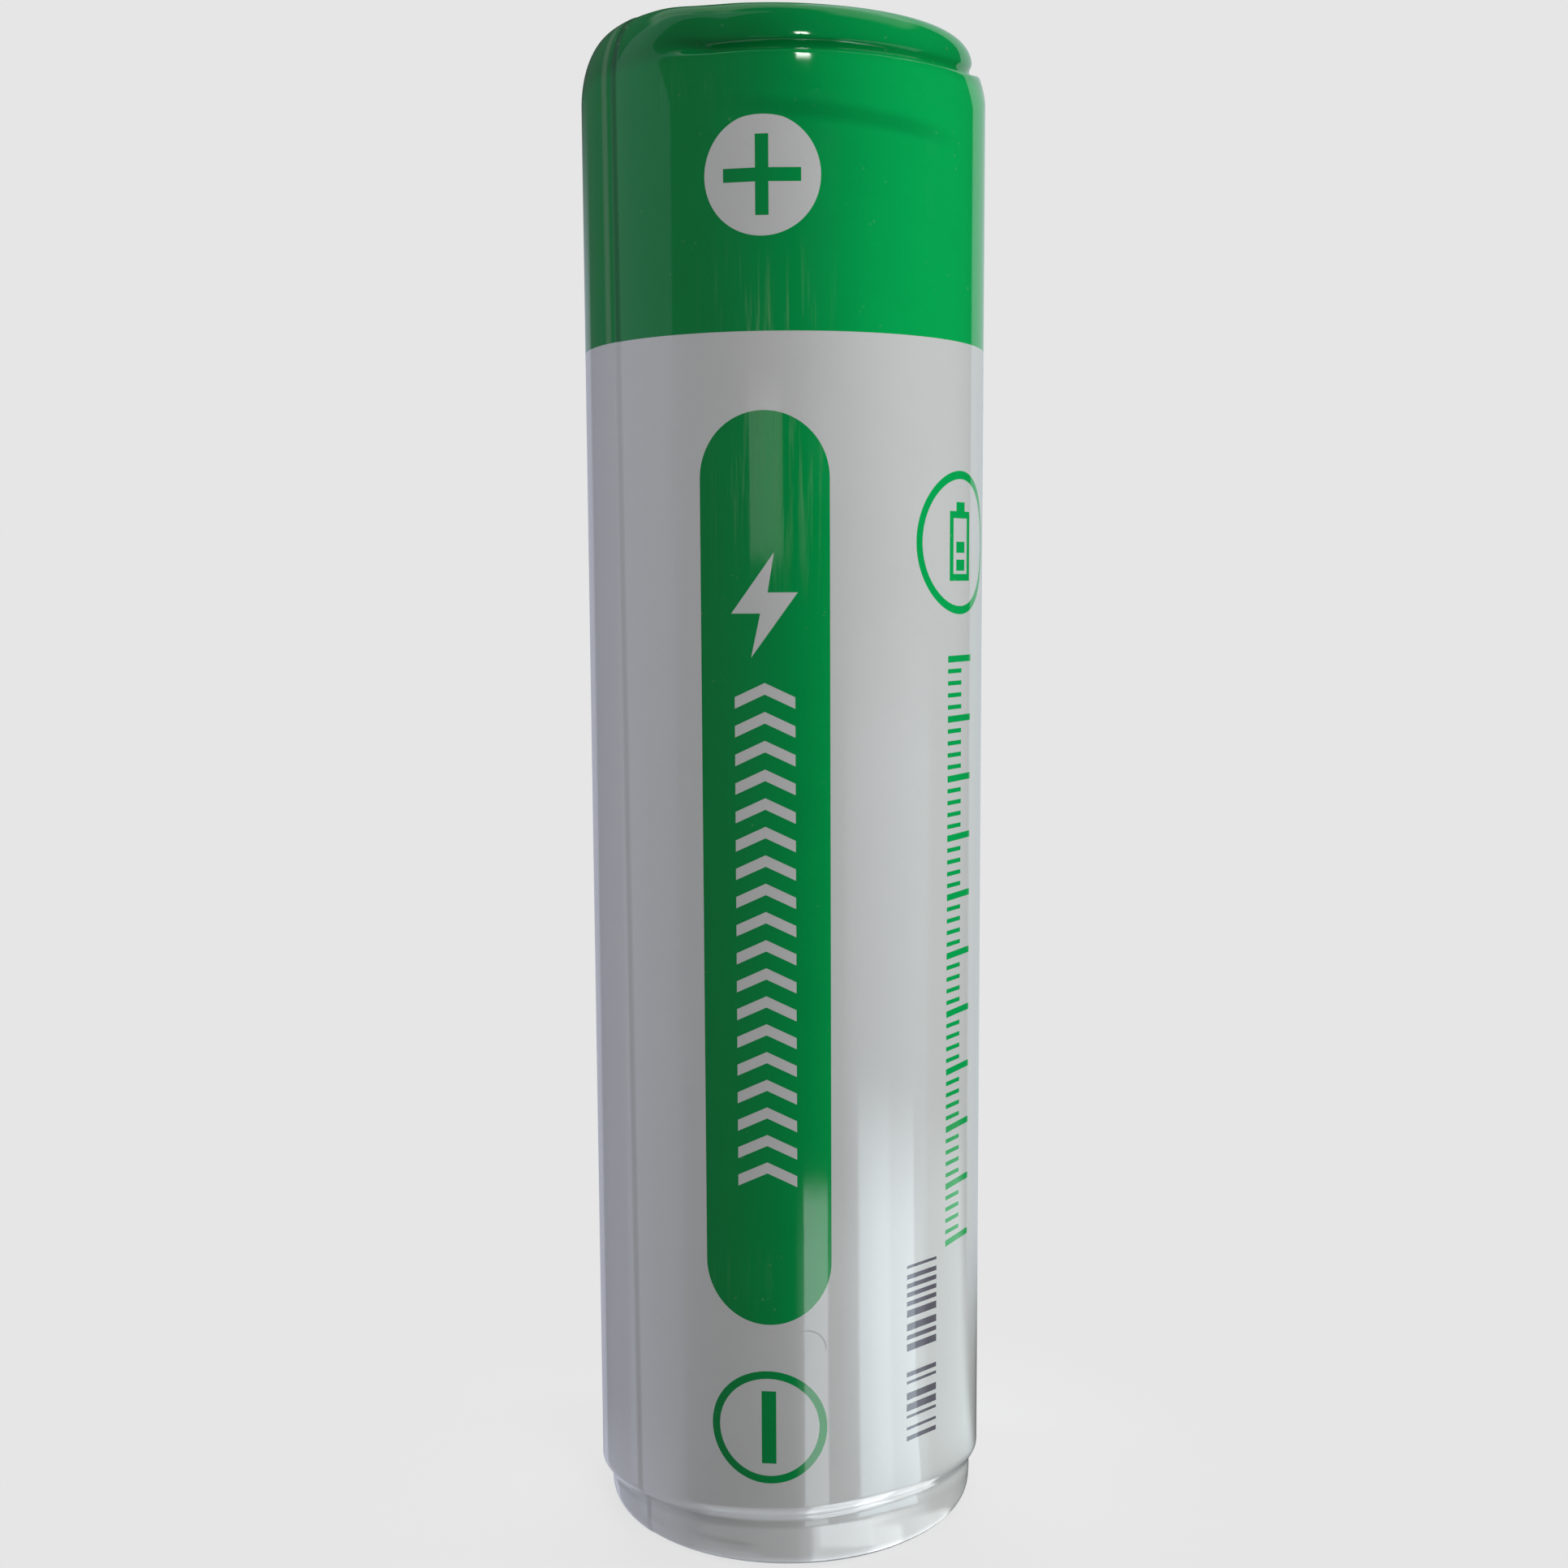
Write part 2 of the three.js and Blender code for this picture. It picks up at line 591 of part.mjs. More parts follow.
function negativeEnd() {
  const insulatorTop = CAN_BOTTOM - MOUNTING_GAP;
  const spacerTop = insulatorTop - INSULATOR_SHEET - MOUNTING_GAP;
  const insulator = ring(3.3, 7.8, insulatorTop - INSULATOR_SHEET, insulatorTop);
  add("board_insulator", insulator, FINISHES.fibrePaper);
  const spacer = ring(BOARD_RADIUS - SPACER_WALL, BOARD_RADIUS, BOARD_TOP + MOUNTING_GAP, spacerTop);
  add("board_spacer", spacer, FINISHES.polypropylene);

  const thickness = BOARD_TOP - BOARD_BOTTOM;
  const board = new THREE.CylinderGeometry(BOARD_RADIUS, BOARD_RADIUS, thickness, ROUND_SEGMENTS);
  board.rotateX(QUARTER_TURN);
  board.translate(0, 0, BOARD_BOTTOM + thickness / 2);
  add("circuit_board", board, FINISHES.boardMask);

  const tab = [
    [-2.2, CAN_BOTTOM - 0.1],
    [2.4, CAN_BOTTOM - 0.1, 0.3],
    [2.4, BOARD_TOP + 0.1, 0.3],
    [-0.4, BOARD_TOP + 0.1],
  ];
  add("negative_tab", strip(tab, TAB_WIDTH - 0.5, TAB_THICKNESS, 90), FINISHES.nickel);

  const plate = [
    [0, PLATE_SHEET / 2],
    [PLATE_FACE_RADIUS, PLATE_SHEET / 2, 0.3],
    [PLATE_FACE_RADIUS + 0.5, PLATE_RIM_Z, 0.3],
    [PLATE_RIM_RADIUS, PLATE_RIM_Z],
  ];
  add("negative_contact_plate", turnedSheet(plate, PLATE_SHEET), FINISHES.nickel);
}

outerSleeve();
positiveContact();
closureStack();
steelCan();
sideConductor();
woundRoll();
rollInsulators();
electrodeTabs();
negativeEnd();
boardComponents();

export default cell;
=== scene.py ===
"""Looks of a protected 18650 lithium-ion cell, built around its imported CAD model.

The shape functions work in millimetres, with angles in degrees about Z, counted from -Y towards +X.
Meshes are written in metres, in the CAD model's own frame.
"""

import json
import math

import bpy
import numpy as np
from mathutils import Matrix, Vector
from mathutils.geometry import delaunay_2d_cdt


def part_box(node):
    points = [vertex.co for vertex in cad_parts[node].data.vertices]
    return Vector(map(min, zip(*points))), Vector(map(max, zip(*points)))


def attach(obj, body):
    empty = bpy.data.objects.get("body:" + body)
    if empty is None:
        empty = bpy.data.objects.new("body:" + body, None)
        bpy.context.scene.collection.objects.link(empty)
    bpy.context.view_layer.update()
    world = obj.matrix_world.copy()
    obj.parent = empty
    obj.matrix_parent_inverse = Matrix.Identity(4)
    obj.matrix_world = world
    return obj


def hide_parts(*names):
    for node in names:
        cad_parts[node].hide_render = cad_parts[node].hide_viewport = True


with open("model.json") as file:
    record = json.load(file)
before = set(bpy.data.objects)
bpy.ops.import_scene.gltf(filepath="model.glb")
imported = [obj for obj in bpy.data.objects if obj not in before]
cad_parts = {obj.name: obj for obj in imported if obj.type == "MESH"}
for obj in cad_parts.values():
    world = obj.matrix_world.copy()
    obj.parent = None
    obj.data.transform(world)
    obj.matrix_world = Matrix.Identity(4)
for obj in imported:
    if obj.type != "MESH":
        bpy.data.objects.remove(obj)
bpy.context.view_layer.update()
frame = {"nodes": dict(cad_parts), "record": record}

MM = 0.001

# Camera: where it stands, the degrees it looks down and turns the picture, and its lens
CAMERA_PLACE = Vector((-0.15, -89.85, 45.02)) * MM
CAMERA_DOWN = 6.253
CAMERA_TURN = 0.275
CAMERA_LENS = 42.956
CAMERA_SENSOR = 36


def cad_box(node):
    """Low and high corner of a CAD node in millimetres."""
    return tuple(np.array(corner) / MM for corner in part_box(node))


# The sleeve's radius and the heights of its two ends come from its CAD solid
sleeve_low, sleeve_high = cad_box("outer_sleeve")
BODY = sleeve_high[0]
TOP = sleeve_high[2]
FOOT = sleeve_low[2]
FILM = 0.14
OPENING_TOP = 6.2
OPENING_BOTTOM = 6.5

# Upper end of the sleeve: the lip over the crimp, the crease below it and the shoulder.
# A size followed by its _LOSS or _GAIN changes by that much from the front round to each side.
TOP_ZONE = 64.2
RIM_RISE = 0.1
CROWN = 0.3
LIP = 8.68
LIP_HEIGHT = 1.85
LIP_HEIGHT_LOSS = 1.1
LIP_DEPTH = 1.35
LIP_DEPTH_LOSS = 0.55
CREASE = 8.42
CREASE_GAIN = 0.1
CREASE_Z = 67.14
CREASE_Z_GAIN = 1.1
UNDERSIDE = 0.5
SHOULDER = 2.5
SHOULDER_LOSS = 1.3
KNEE = 0.6
BRIDGE_Z = 66.5
BRIDGE_DEPTH = 1.5

# Lower end: the ledge over the can's bottom corner and the foot round the board
BOTTOM_ZONE = 4.2
LEDGE_Z = 2.5
LEDGE_Z_LOSS = 1.15
LEDGE_HEIGHT = 0.75
LEDGE_LIFT = 0.33
FOOT_RADIUS = 8.8
FOOT_SWELL = 0.05
FOOT_FILLET = 0.55
FOLD_Z = 0.95
FOLD_HEIGHT = 0.05

# Film over the side conductor
STRIP_EDGE_TOP = -52.9
STRIP_EDGE_BOTTOM = -48.8
STRIP_SPAN = 33
STRIP_HEIGHT = 0.06
STRIP_EDGE_FADE = 1.0

# Faint bead pressed through the film below the shoulder
BEAD_Z = 64.9
BEAD_FALL = 0.75
BEAD_DEPTH = 0.07
BEAD_WIDTH = 0.45

# Printed label: the angles of its centre line and of the marks beside it, and its main heights
LABEL_ANGLE = -5.95
RING_ANGLE = 57.5
SCALE_ANGLE = 58
STRIPE_ANGLE = 41
GREEN_FROM = 55.44
PLUS_Z = 61.86
MINUS_Z = 7.04
BOLT_Z = 43.91
RING_Z = 46.6

GREEN = (0.0015, 0.345, 0.078)
WHITE = (0.625, 0.635, 0.64)
DARK = (0.035, 0.018, 0.045)

scene = bpy.context.scene
scene.view_settings.view_transform = "Standard"
chance = np.random.default_rng(18650)


# ---------------------------- camera

def make_camera():
    data = bpy.data.cameras.new("camera")
    data.lens = CAMERA_LENS
    data.sensor_width = CAMERA_SENSOR
    data.clip_start = 0.001
    data.clip_end = 10
    camera = bpy.data.objects.new("camera", data)
    down = Matrix.Rotation(math.radians(90 - CAMERA_DOWN), 4, "X")
    turn = Matrix.Rotation(math.radians(-CAMERA_TURN), 4, "Z")
    camera.matrix_world = Matrix.Translation(CAMERA_PLACE) @ down @ turn
    scene.collection.objects.link(camera)
    scene.camera = camera


make_camera()


# ---------------------------- numbers and outlines

def smooth(start, end, value):
    """0 at start, 1 at end, with a level slope at both."""
    share = np.clip((value - start) / (end - start), 0, 1)
    return share * share * (3 - 2 * share)


def near_angle(theta, centre, half_width, fade):
    """1 within half_width degrees of the centre, fading to 0 beyond it."""
    away = np.abs((theta - centre + 180) % 360 - 180)
    return 1 - smooth(half_width, half_width + fade, away)


def mound(value, centre, width):
    """A smooth mound: 1 at the centre, and 1/e at width from it."""
    return np.exp(-(((value - centre) / width) ** 2))


def side_share(theta):
    """0 at the front, rising to 1 a quarter turn away and staying there."""
    return 1 - math.cos(math.radians(min(abs(theta), 90)))


def resampled(path, count):
    """count points spaced evenly along a path of [radius, z] points."""
    steps = np.hypot(*np.diff(path, axis=0).T)
    length = np.concatenate([[0], np.cumsum(steps)])
    at = np.linspace(0, length[-1], count)
    return np.stack([np.interp(at, length, path[:, k]) for k in (0, 1)], axis=1)


def softened(path, width):
    """The path with its corners rounded by a moving average of an odd number of points."""
    margin = width // 2
    padded = np.concatenate([
        2 * path[0] - path[margin:0:-1],
        path,
        2 * path[-1] - path[-2:-margin - 2:-1],
    ])
    kernel = np.hanning(width + 2)[1:-1]
    kernel /= kernel.sum()
    return np.stack([np.convolve(padded[:, k], kernel, "valid") for k in (0, 1)], axis=1)


def rounded(corners, arc_steps=6):
    """A path through [radius, z, fillet] corners, with each fillet as an arc."""
    path = []
    for index, (radius, z, *fillet) in enumerate(corners):
        corner = np.array([radius, z])
        if not fillet:
            path.append(corner)
            continue
        back = np.array(corners[index - 1][:2]) - corner
        ahead = np.array(corners[index + 1][:2]) - corner
        back /= np.linalg.norm(back)
        ahead /= np.linalg.norm(ahead)
        half = math.acos(float(back @ ahead)) / 2
        inward = (back + ahead) / np.linalg.norm(back + ahead)
        centre = corner + inward * fillet[0] / math.sin(half)
        start = corner + back * fillet[0] / math.tan(half) - centre
        end = corner + ahead * fillet[0] / math.tan(half) - centre
        sweep = math.atan2(start[0] * end[1] - start[1] * end[0], float(start @ end))
        for step in range(arc_steps + 1):
            turn = sweep * step / arc_steps
            spoke = np.array([
                start[0] * math.cos(turn) - start[1] * math.sin(turn),
                start[0] * math.sin(turn) + start[1] * math.cos(turn),
            ])
            path.append(centre + spoke)
    return np.array(path)


# ---------------------------- sleeve surface

RIPPLES = [
    (turns, chance.uniform(0.02, 0.11), chance.uniform(0, 2 * math.pi), chance.uniform(0.001, 0.0035))
    for turns in (2, 3, 5, 7, 9, 12)
]
PUCKERS = [
    (turns, chance.uniform(0, 2 * math.pi), chance.uniform(0.008, 0.02))
    for turns in (3, 5, 8, 13, 19, 27)
]


def ripple(theta, z):
    """The slight unevenness of shrunk film."""
    angle = np.radians(theta)
    return sum(h * np.sin(turns * angle + pitch * z + shift) for turns, pitch, shift, h in RIPPLES)


def pucker(theta):
    """Gathers at the film's inner folds, one value for each angle."""
    angle = np.radians(theta)
    return sum(height * np.sin(turns * angle + shift) for turns, shift, height in PUCKERS)


def strip_ridge(theta, z):
    """How far the film is held out by the conductor and tape below it."""
    edge = STRIP_EDGE_BOTTOM + (STRIP_EDGE_TOP - STRIP_EDGE_BOTTOM) * z / TOP
    right = 1 - smooth(edge - STRIP_EDGE_FADE, edge + STRIP_EDGE_FADE, theta)
    left = smooth(edge - STRIP_SPAN - 3, edge - STRIP_SPAN + 1, theta)
    return STRIP_HEIGHT * right * left


def body_radius(theta, z):
    bead_z = BEAD_Z - BEAD_FALL * np.sin(np.radians(theta))
    bead = BEAD_DEPTH * mound(z, bead_z, BEAD_WIDTH) * near_angle(theta, 22, 18, 8)
    return BODY + strip_ridge(theta, z) + ripple(theta, z) - bead


def rim_top(theta):
    """Height of the rim, which the conductor and its tape hold up where they pass under the film."""
    return TOP + RIM_RISE + (CROWN - RIM_RISE) * float(near_angle(theta, -80, 25, 75))


def top_flat(theta, radius, top, count):
    """The film's stretch over the end, from a radius on the rim in to the gathered opening."""
    inward = np.linspace(radius, OPENING_TOP + 3 * pucker(theta), count)[1:]
    return np.stack([inward, np.linspace(top, TOP, count - 1)], axis=1)


def lip_profile(theta):
    """The film's [radius, z] path over the upper end, from the body to the opening."""
    aside = side_share(theta)
    crease_z = CREASE_Z + CREASE_Z_GAIN * aside**2.5
    top = rim_top(theta)
    height = LIP_HEIGHT - LIP_HEIGHT_LOSS * aside
    depth = LIP_DEPTH - LIP_DEPTH_LOSS * aside
    z = np.linspace(TOP_ZONE, top - height, 90)
    crease = CREASE + CREASE_GAIN * aside
    lip = crease + (LIP - crease) * smooth(crease_z, crease_z + UNDERSIDE, z)
    fall = np.clip((crease_z - z) / (SHOULDER - SHOULDER_LOSS * aside), 0, 1)
    knee = smooth(0, 0.07, fall)
    share = KNEE * knee + (1 - KNEE) * (1 - (1 - fall) ** 1.5)
    side = np.stack([lip + (body_radius(theta, z) - lip) * share, z], axis=1)
    turn = np.radians(np.linspace(0, 90, 36))[1:]
    power = 2 / (1.6 + 0.4 * smooth(20, 70, abs(theta)))
    arc = np.stack([
        LIP - depth + depth * np.maximum(np.cos(turn), 0) ** power,
        top - height + height * np.sin(turn) ** power,
    ], axis=1)
    return np.concatenate([side, arc, top_flat(theta, LIP - depth, top, 20)])


def bridge_profile(theta, radius):
    """The same path where the conductor carries the film past the crease in one smooth curve."""
    straight = np.array([[radius, z] for z in np.linspace(TOP_ZONE, BRIDGE_Z, 10)])
    turn = np.radians(np.linspace(0, 90, 60))[1:]
    top = rim_top(theta)
    arc = np.stack([
        radius - BRIDGE_DEPTH * (1 - np.cos(turn)),
        BRIDGE_Z + (top - BRIDGE_Z) * np.sin(turn),
    ], axis=1)
    return np.concatenate([straight, arc, top_flat(theta, radius - BRIDGE_DEPTH, top, 12)])


def foot_profile(theta, radius):
    """The film's [radius, z] path over the lower end, from the body to the opening."""
    slant = math.sin(math.radians(theta))
    lift = LEDGE_LIFT * float(near_angle(theta, 48, 10, 40))
    crease_z = LEDGE_Z - LEDGE_Z_LOSS * side_share(theta) + 0.12 * slant + lift
    corner_z = crease_z + LEDGE_HEIGHT + 0.1 * slant
    foot_z = FOOT + 0.06 * slant
    ridge = 0.6 * float(strip_ridge(np.float64(theta), 2.0))
    foot = FOOT_RADIUS + FOOT_SWELL * (1 + slant) + ridge
    z = np.linspace(BOTTOM_ZONE, foot_z + FOOT_FILLET, 90)
    climb = np.clip((z - crease_z) / (corner_z - crease_z), 0, 1)
    share = 0.6 * (1 - (1 - climb) ** 2.2) + 0.4 * smooth(0, 1, climb)
    bulge = 0.03 * mound(z, crease_z - 0.45, 0.3)
    bulge = bulge + FOLD_HEIGHT * mound(z, FOLD_Z, 0.22) * near_angle(theta, -30, 16, 10)
    side = np.stack([foot + bulge * (share == 0) + (radius - foot) * share, z], axis=1)
    turn = np.radians(np.linspace(0, 90, 18))[1:]
    arc = np.stack([
        foot - FOOT_FILLET + FOOT_FILLET * np.cos(turn),
        foot_z + FOOT_FILLET - FOOT_FILLET * np.sin(turn),
    ], axis=1)
    flat_r = np.linspace(foot - FOOT_FILLET, OPENING_BOTTOM + 3 * pucker(-theta), 16)[1:]
    flat = np.stack([flat_r, np.full(len(flat_r), foot_z)], axis=1)
    return np.concatenate([side, arc, flat])


ROW_STEP = 0.12
TOP_ROWS = 90
BOTTOM_ROWS = 56


def sleeve_columns():
    """Angles of the sleeve's columns, closer together along the edges of the conductor."""
    even = np.arange(-180, 180.5, 2.0)
    edges = [np.arange(low, low + 16, 0.4) for low in (-59, -92)]
    clear = [a for a in even if all(abs(a - edge).min() > 0.2 for edge in edges)]
    return np.array(sorted([*clear, *np.concatenate(edges)]))


COLUMNS = sleeve_columns()


def end_tables():
    """Upper and lower end of the sleeve as tables of [radius, z], one row of points a column."""
    upper = []
    lower = []
    for theta in COLUMNS:
        start = float(body_radius(theta, TOP_ZONE))
        lip = softened(resampled(lip_profile(theta), TOP_ROWS), 3)
        bridge = resampled(bridge_profile(theta, start), TOP_ROWS)
        share = float(near_angle(theta, -84, 43, 23))
        upper.append(lip + (bridge - lip) * share)
        start = float(body_radius(theta, BOTTOM_ZONE))
        lower.append(softened(resampled(foot_profile(theta, start), BOTTOM_ROWS), 3))
    return np.array(upper), np.array(lower)


UPPER, LOWER = end_tables()


def table_at(table, theta, row):
    """Reads [radius, z] from a table between its columns and rows."""
    column = np.interp(theta, COLUMNS, np.arange(len(COLUMNS)))
    left = np.minimum(column.astype(int), len(COLUMNS) - 2)
    row = np.clip(row, 0, table.shape[1] - 1)
    low = np.minimum(row.astype(int), table.shape[1] - 2)
    across = (column - left)[:, None]
    along = (row - low)[:, None]
    near = table[left, low] * (1 - across) + table[left + 1, low] * across
    far = table[left, low + 1] * (1 - across) + table[left + 1, low + 1] * across
    return near * (1 - along) + far * along


def sleeve_point(theta, v):
    """Points of the film's outer face.

    v is the height on the body, and past either end of it goes on along the film.
    """
    theta = (np.asarray(theta, float) + 180) % 360 - 180
    v = np.asarray(v, float)
    middle = np.stack([body_radius(theta, v), v], axis=1)
    upper = table_at(UPPER, theta, (v - TOP_ZONE) / ROW_STEP)
    lower = table_at(LOWER, theta, (BOTTOM_ZONE - v) / ROW_STEP)
    above = v > TOP_ZONE
    below = v < BOTTOM_ZONE
    radius, z = np.where(above[:, None], upper, np.where(below[:, None], lower, middle)).T
    angle = np.radians(theta)
    gather = np.abs(pucker(theta) * smooth(7.6, 6.4, radius))
    z = z - np.where(above, gather, -gather) * (above | below)
    return np.stack([radius * np.sin(angle), -radius * np.cos(angle), z], axis=1)


def sleeve_normal(theta, v):
    across = sleeve_point(theta + 0.25, v) - sleeve_point(theta - 0.25, v)
    step = ROW_STEP * 0.9
    along = sleeve_point(theta, v + step) - sleeve_point(theta, v - step)
    normal = np.cross(across, along)
    return normal / np.linalg.norm(normal, axis=1)[:, None]


# ---------------------------- printed shapes

def at_angle(theta):
    return BODY * math.radians(theta)


def disc(u, v, radius):
    turn = np.linspace(0, 2 * math.pi, 96, endpoint=False)
    return np.stack([u + radius * np.cos(turn), v + radius * np.sin(turn)], axis=1)


def stadium(u, low, high, half_width):
    turn = np.linspace(0, math.pi, 48)
    upper = np.stack([u + half_width * np.cos(turn), high + half_width * np.sin(turn)], axis=1)
    lower = np.stack([u - half_width * np.cos(turn), low - half_width * np.sin(turn)], axis=1)
    return np.concatenate([upper, lower])


def box(u, v, width, height):
    corners = ((-1, -1), (1, -1), (1, 1), (-1, 1))
    return np.array([[u + x * width / 2, v + y * height / 2] for x, y in corners])


def plus(u, v, reach, thickness):
    half = thickness / 2
    arm = [(half, reach), (half, half), (reach, half)]
    corner = []
    for sx, sy in ((1, 1), (1, -1), (-1, -1), (-1, 1)):
        points = arm if sx * sy > 0 else arm[::-1]
        corner += [(u + sx * x, v + sy * y) for x, y in points]
    return np.array(corner)


def bolt(u, v, width, height):
    """A lightning bolt that fills a box of that width and height."""
    shape = [(0.15, 0.5), (-0.5, -0.08), (-0.06, -0.08), (-0.2, -0.5), (0.5, 0.12), (0.05, 0.12)]
    return np.array([(u + x * width, v + y * height) for x, y in shape])


def chevron(u, v, width, rise, stroke):
    """An arrowhead that points up, with its lower corners at v."""
    half = width / 2
    lower = [(-half, 0), (0, rise), (half, 0)]
    upper = [(half, stroke), (0, rise + stroke), (-half, stroke)]
    return np.array([(u + x, v + y) for x, y in lower + upper])


def ring_prints(centre, z, radius, stroke):
    """A green ring, as a green disc with a white one on it."""
    return [("green", disc(centre, z, radius)), ("white", disc(centre, z, radius - stroke))]


def front_prints():
    """The plus in its disc, the long label with a bolt and chevrons, and the minus in its ring."""
    centre = at_angle(LABEL_ANGLE)
    prints = [
        ("white", disc(centre, PLUS_Z, 2.5)),
        ("green", plus(centre, PLUS_Z, 1.66, 0.57)),
        ("green", stadium(centre, 14.69, 49.3, 2.85)),
        ("white", bolt(centre, BOLT_Z, 2.9, 4.5)),
        *ring_prints(centre, MINUS_Z, 2.64, 0.36),
        ("green", box(centre, MINUS_Z, 0.66, 3.4)),
    ]
    for v in np.linspace(18.2, 40.7, 18, endpoint=False):
        prints.append(("white", chevron(centre, v, 2.64, 0.62, 0.5)))
    return prints


def side_prints():
    """A battery pictogram in a ring, and a scale of ticks below it."""
    centre = at_angle(RING_ANGLE)
    prints = [
        *ring_prints(centre, RING_Z, 3.2, 0.37),
        ("green", box(centre, RING_Z - 0.15, 1.9, 3.1)),
        ("white", box(centre, RING_Z - 0.15, 1.9 - 0.62, 3.1 - 0.62)),
        ("green", box(centre, RING_Z + 1.6, 0.8, 0.42)),
        ("green", box(centre, RING_Z - 1, 0.8, 0.5)),
        ("green", box(centre, RING_Z - 0.2, 0.8, 0.5)),
    ]
    left = at_angle(SCALE_ANGLE) - 1.12
    for index, v in enumerate(np.linspace(14.3, 41.4, 51)):
        width, thickness = (2.24, 0.3) if index % 5 == 0 else (1.2, 0.2)
        prints.append(("green", box(left + width / 2, v, width, thickness)))
    return prints


def stripe_prints():
    """Dark cross stripes in two groups, with widths that vary."""
    centre = at_angle(STRIPE_ANGLE)
    prints = []
    for low, high in ((9.85, 14.3), (5.56, 9.08)):
        v = low
        while v < high - 0.2:
            thickness = float(chance.choice([0.14, 0.22, 0.34]))
            prints.append(("dark", box(centre, v + thickness / 2, 1.92, thickness)))
            v += thickness + float(chance.choice([0.2, 0.3, 0.42]))
    return prints


PRINTS = front_prints() + side_prints() + stripe_prints()


def inside(points, outline):
    """True for each point inside the closed outline."""
    x, y = points.T
    within = np.zeros(len(points), bool)
    for (ax, ay), (bx, by) in zip(outline, np.roll(outline, -1, axis=0)):
        crosses = (ay > y) != (by > y)
        with np.errstate(divide="ignore", invalid="ignore"):
            at = ax + (y - ay) * (bx - ax) / (by - ay)
        within ^= crosses & (x < at)
    return within


def gap_to(points, outline):
    """Distance from each point to the closed outline."""
    start = outline
    along = np.roll(outline, -1, axis=0) - start
    offset = points[:, None] - start[None]
    share = np.clip((offset * along).sum(2) / (along ** 2).sum(1), 0, 1)
    return np.linalg.norm(offset - share[..., None] * along, axis=2).min(1)


def near_box(points, outline, margin):
    low = outline.min(0) - margin
    high = outline.max(0) + margin
    return ((points > low) & (points < high)).all(1)


# ---------------------------- meshes

def make_object(name, points, faces, materials, slots=None, normals=None, sharp=None):
    mesh = bpy.data.meshes.new(name)
    mesh.from_pydata((np.asarray(points) * MM).tolist(), [], faces)
    for material in materials:
        mesh.materials.append(material)
    if slots is not None:
        mesh.polygons.foreach_set("material_index", slots)
    mesh.polygons.foreach_set("use_smooth", [True] * len(mesh.polygons))
    if normals is not None:
        mesh.normals_split_custom_set(normals.tolist())
    if sharp is not None:
        mesh.set_sharp_from_angle(angle=math.radians(sharp))
    mesh.validate()
    thing = bpy.data.objects.new(name, mesh)
    scene.collection.objects.link(thing)
    return thing


def sleeve_rows():
    upper = TOP_ZONE + ROW_STEP * np.arange(TOP_ROWS)
    bead = np.arange(62.9, TOP_ZONE - 0.05, 0.15)
    body = np.linspace(BOTTOM_ZONE, 62.8, 78)
    body = body[abs(body - GREEN_FROM) > 0.15]
    lower = BOTTOM_ZONE - ROW_STEP * np.arange(1, BOTTOM_ROWS)
    return np.array(sorted([*lower, *body, GREEN_FROM, *bead, *upper]))


def printed_faces():
    """The unrolled film as triangles: its [u, v] points, its triangles and the ink on each."""
    rows = sleeve_rows()
    u = BODY * np.radians(COLUMNS)
    grid = np.stack(np.meshgrid(u, rows), axis=2).reshape(-1, 2)
    free = np.ones(len(grid), bool)
    for _, outline in PRINTS:
        close = near_box(grid, outline, 0.1)
        free[close] &= gap_to(grid[close], outline) > 0.07
    points = [grid[free]]
    edges = []
    count = int(free.sum())
    for _, outline in PRINTS:
        edges += [(count + i, count + (i + 1) % len(outline)) for i in range(len(outline))]
        points.append(outline)
        count += len(outline)
    given = np.concatenate(points)
    plane = [Vector(point) for point in given.tolist()]
    found = delaunay_2d_cdt(plane, edges, [], 0, 1e-6)
    flat = np.array([tuple(point) for point in found[0]])
    for index, sources in enumerate(found[3]):
        if sources:
            flat[index] = given[sources[0]]
    triangles = np.array(found[2])
    middle = flat[triangles].mean(1)
    ink = np.where(middle[:, 1] > GREEN_FROM, 1, 0)
    for colour, outline in PRINTS:
        close = np.flatnonzero(near_box(middle, outline, 0))
        ink[close[inside(middle[close], outline)]] = ("white", "green", "dark").index(colour)
    return flat, triangles, ink


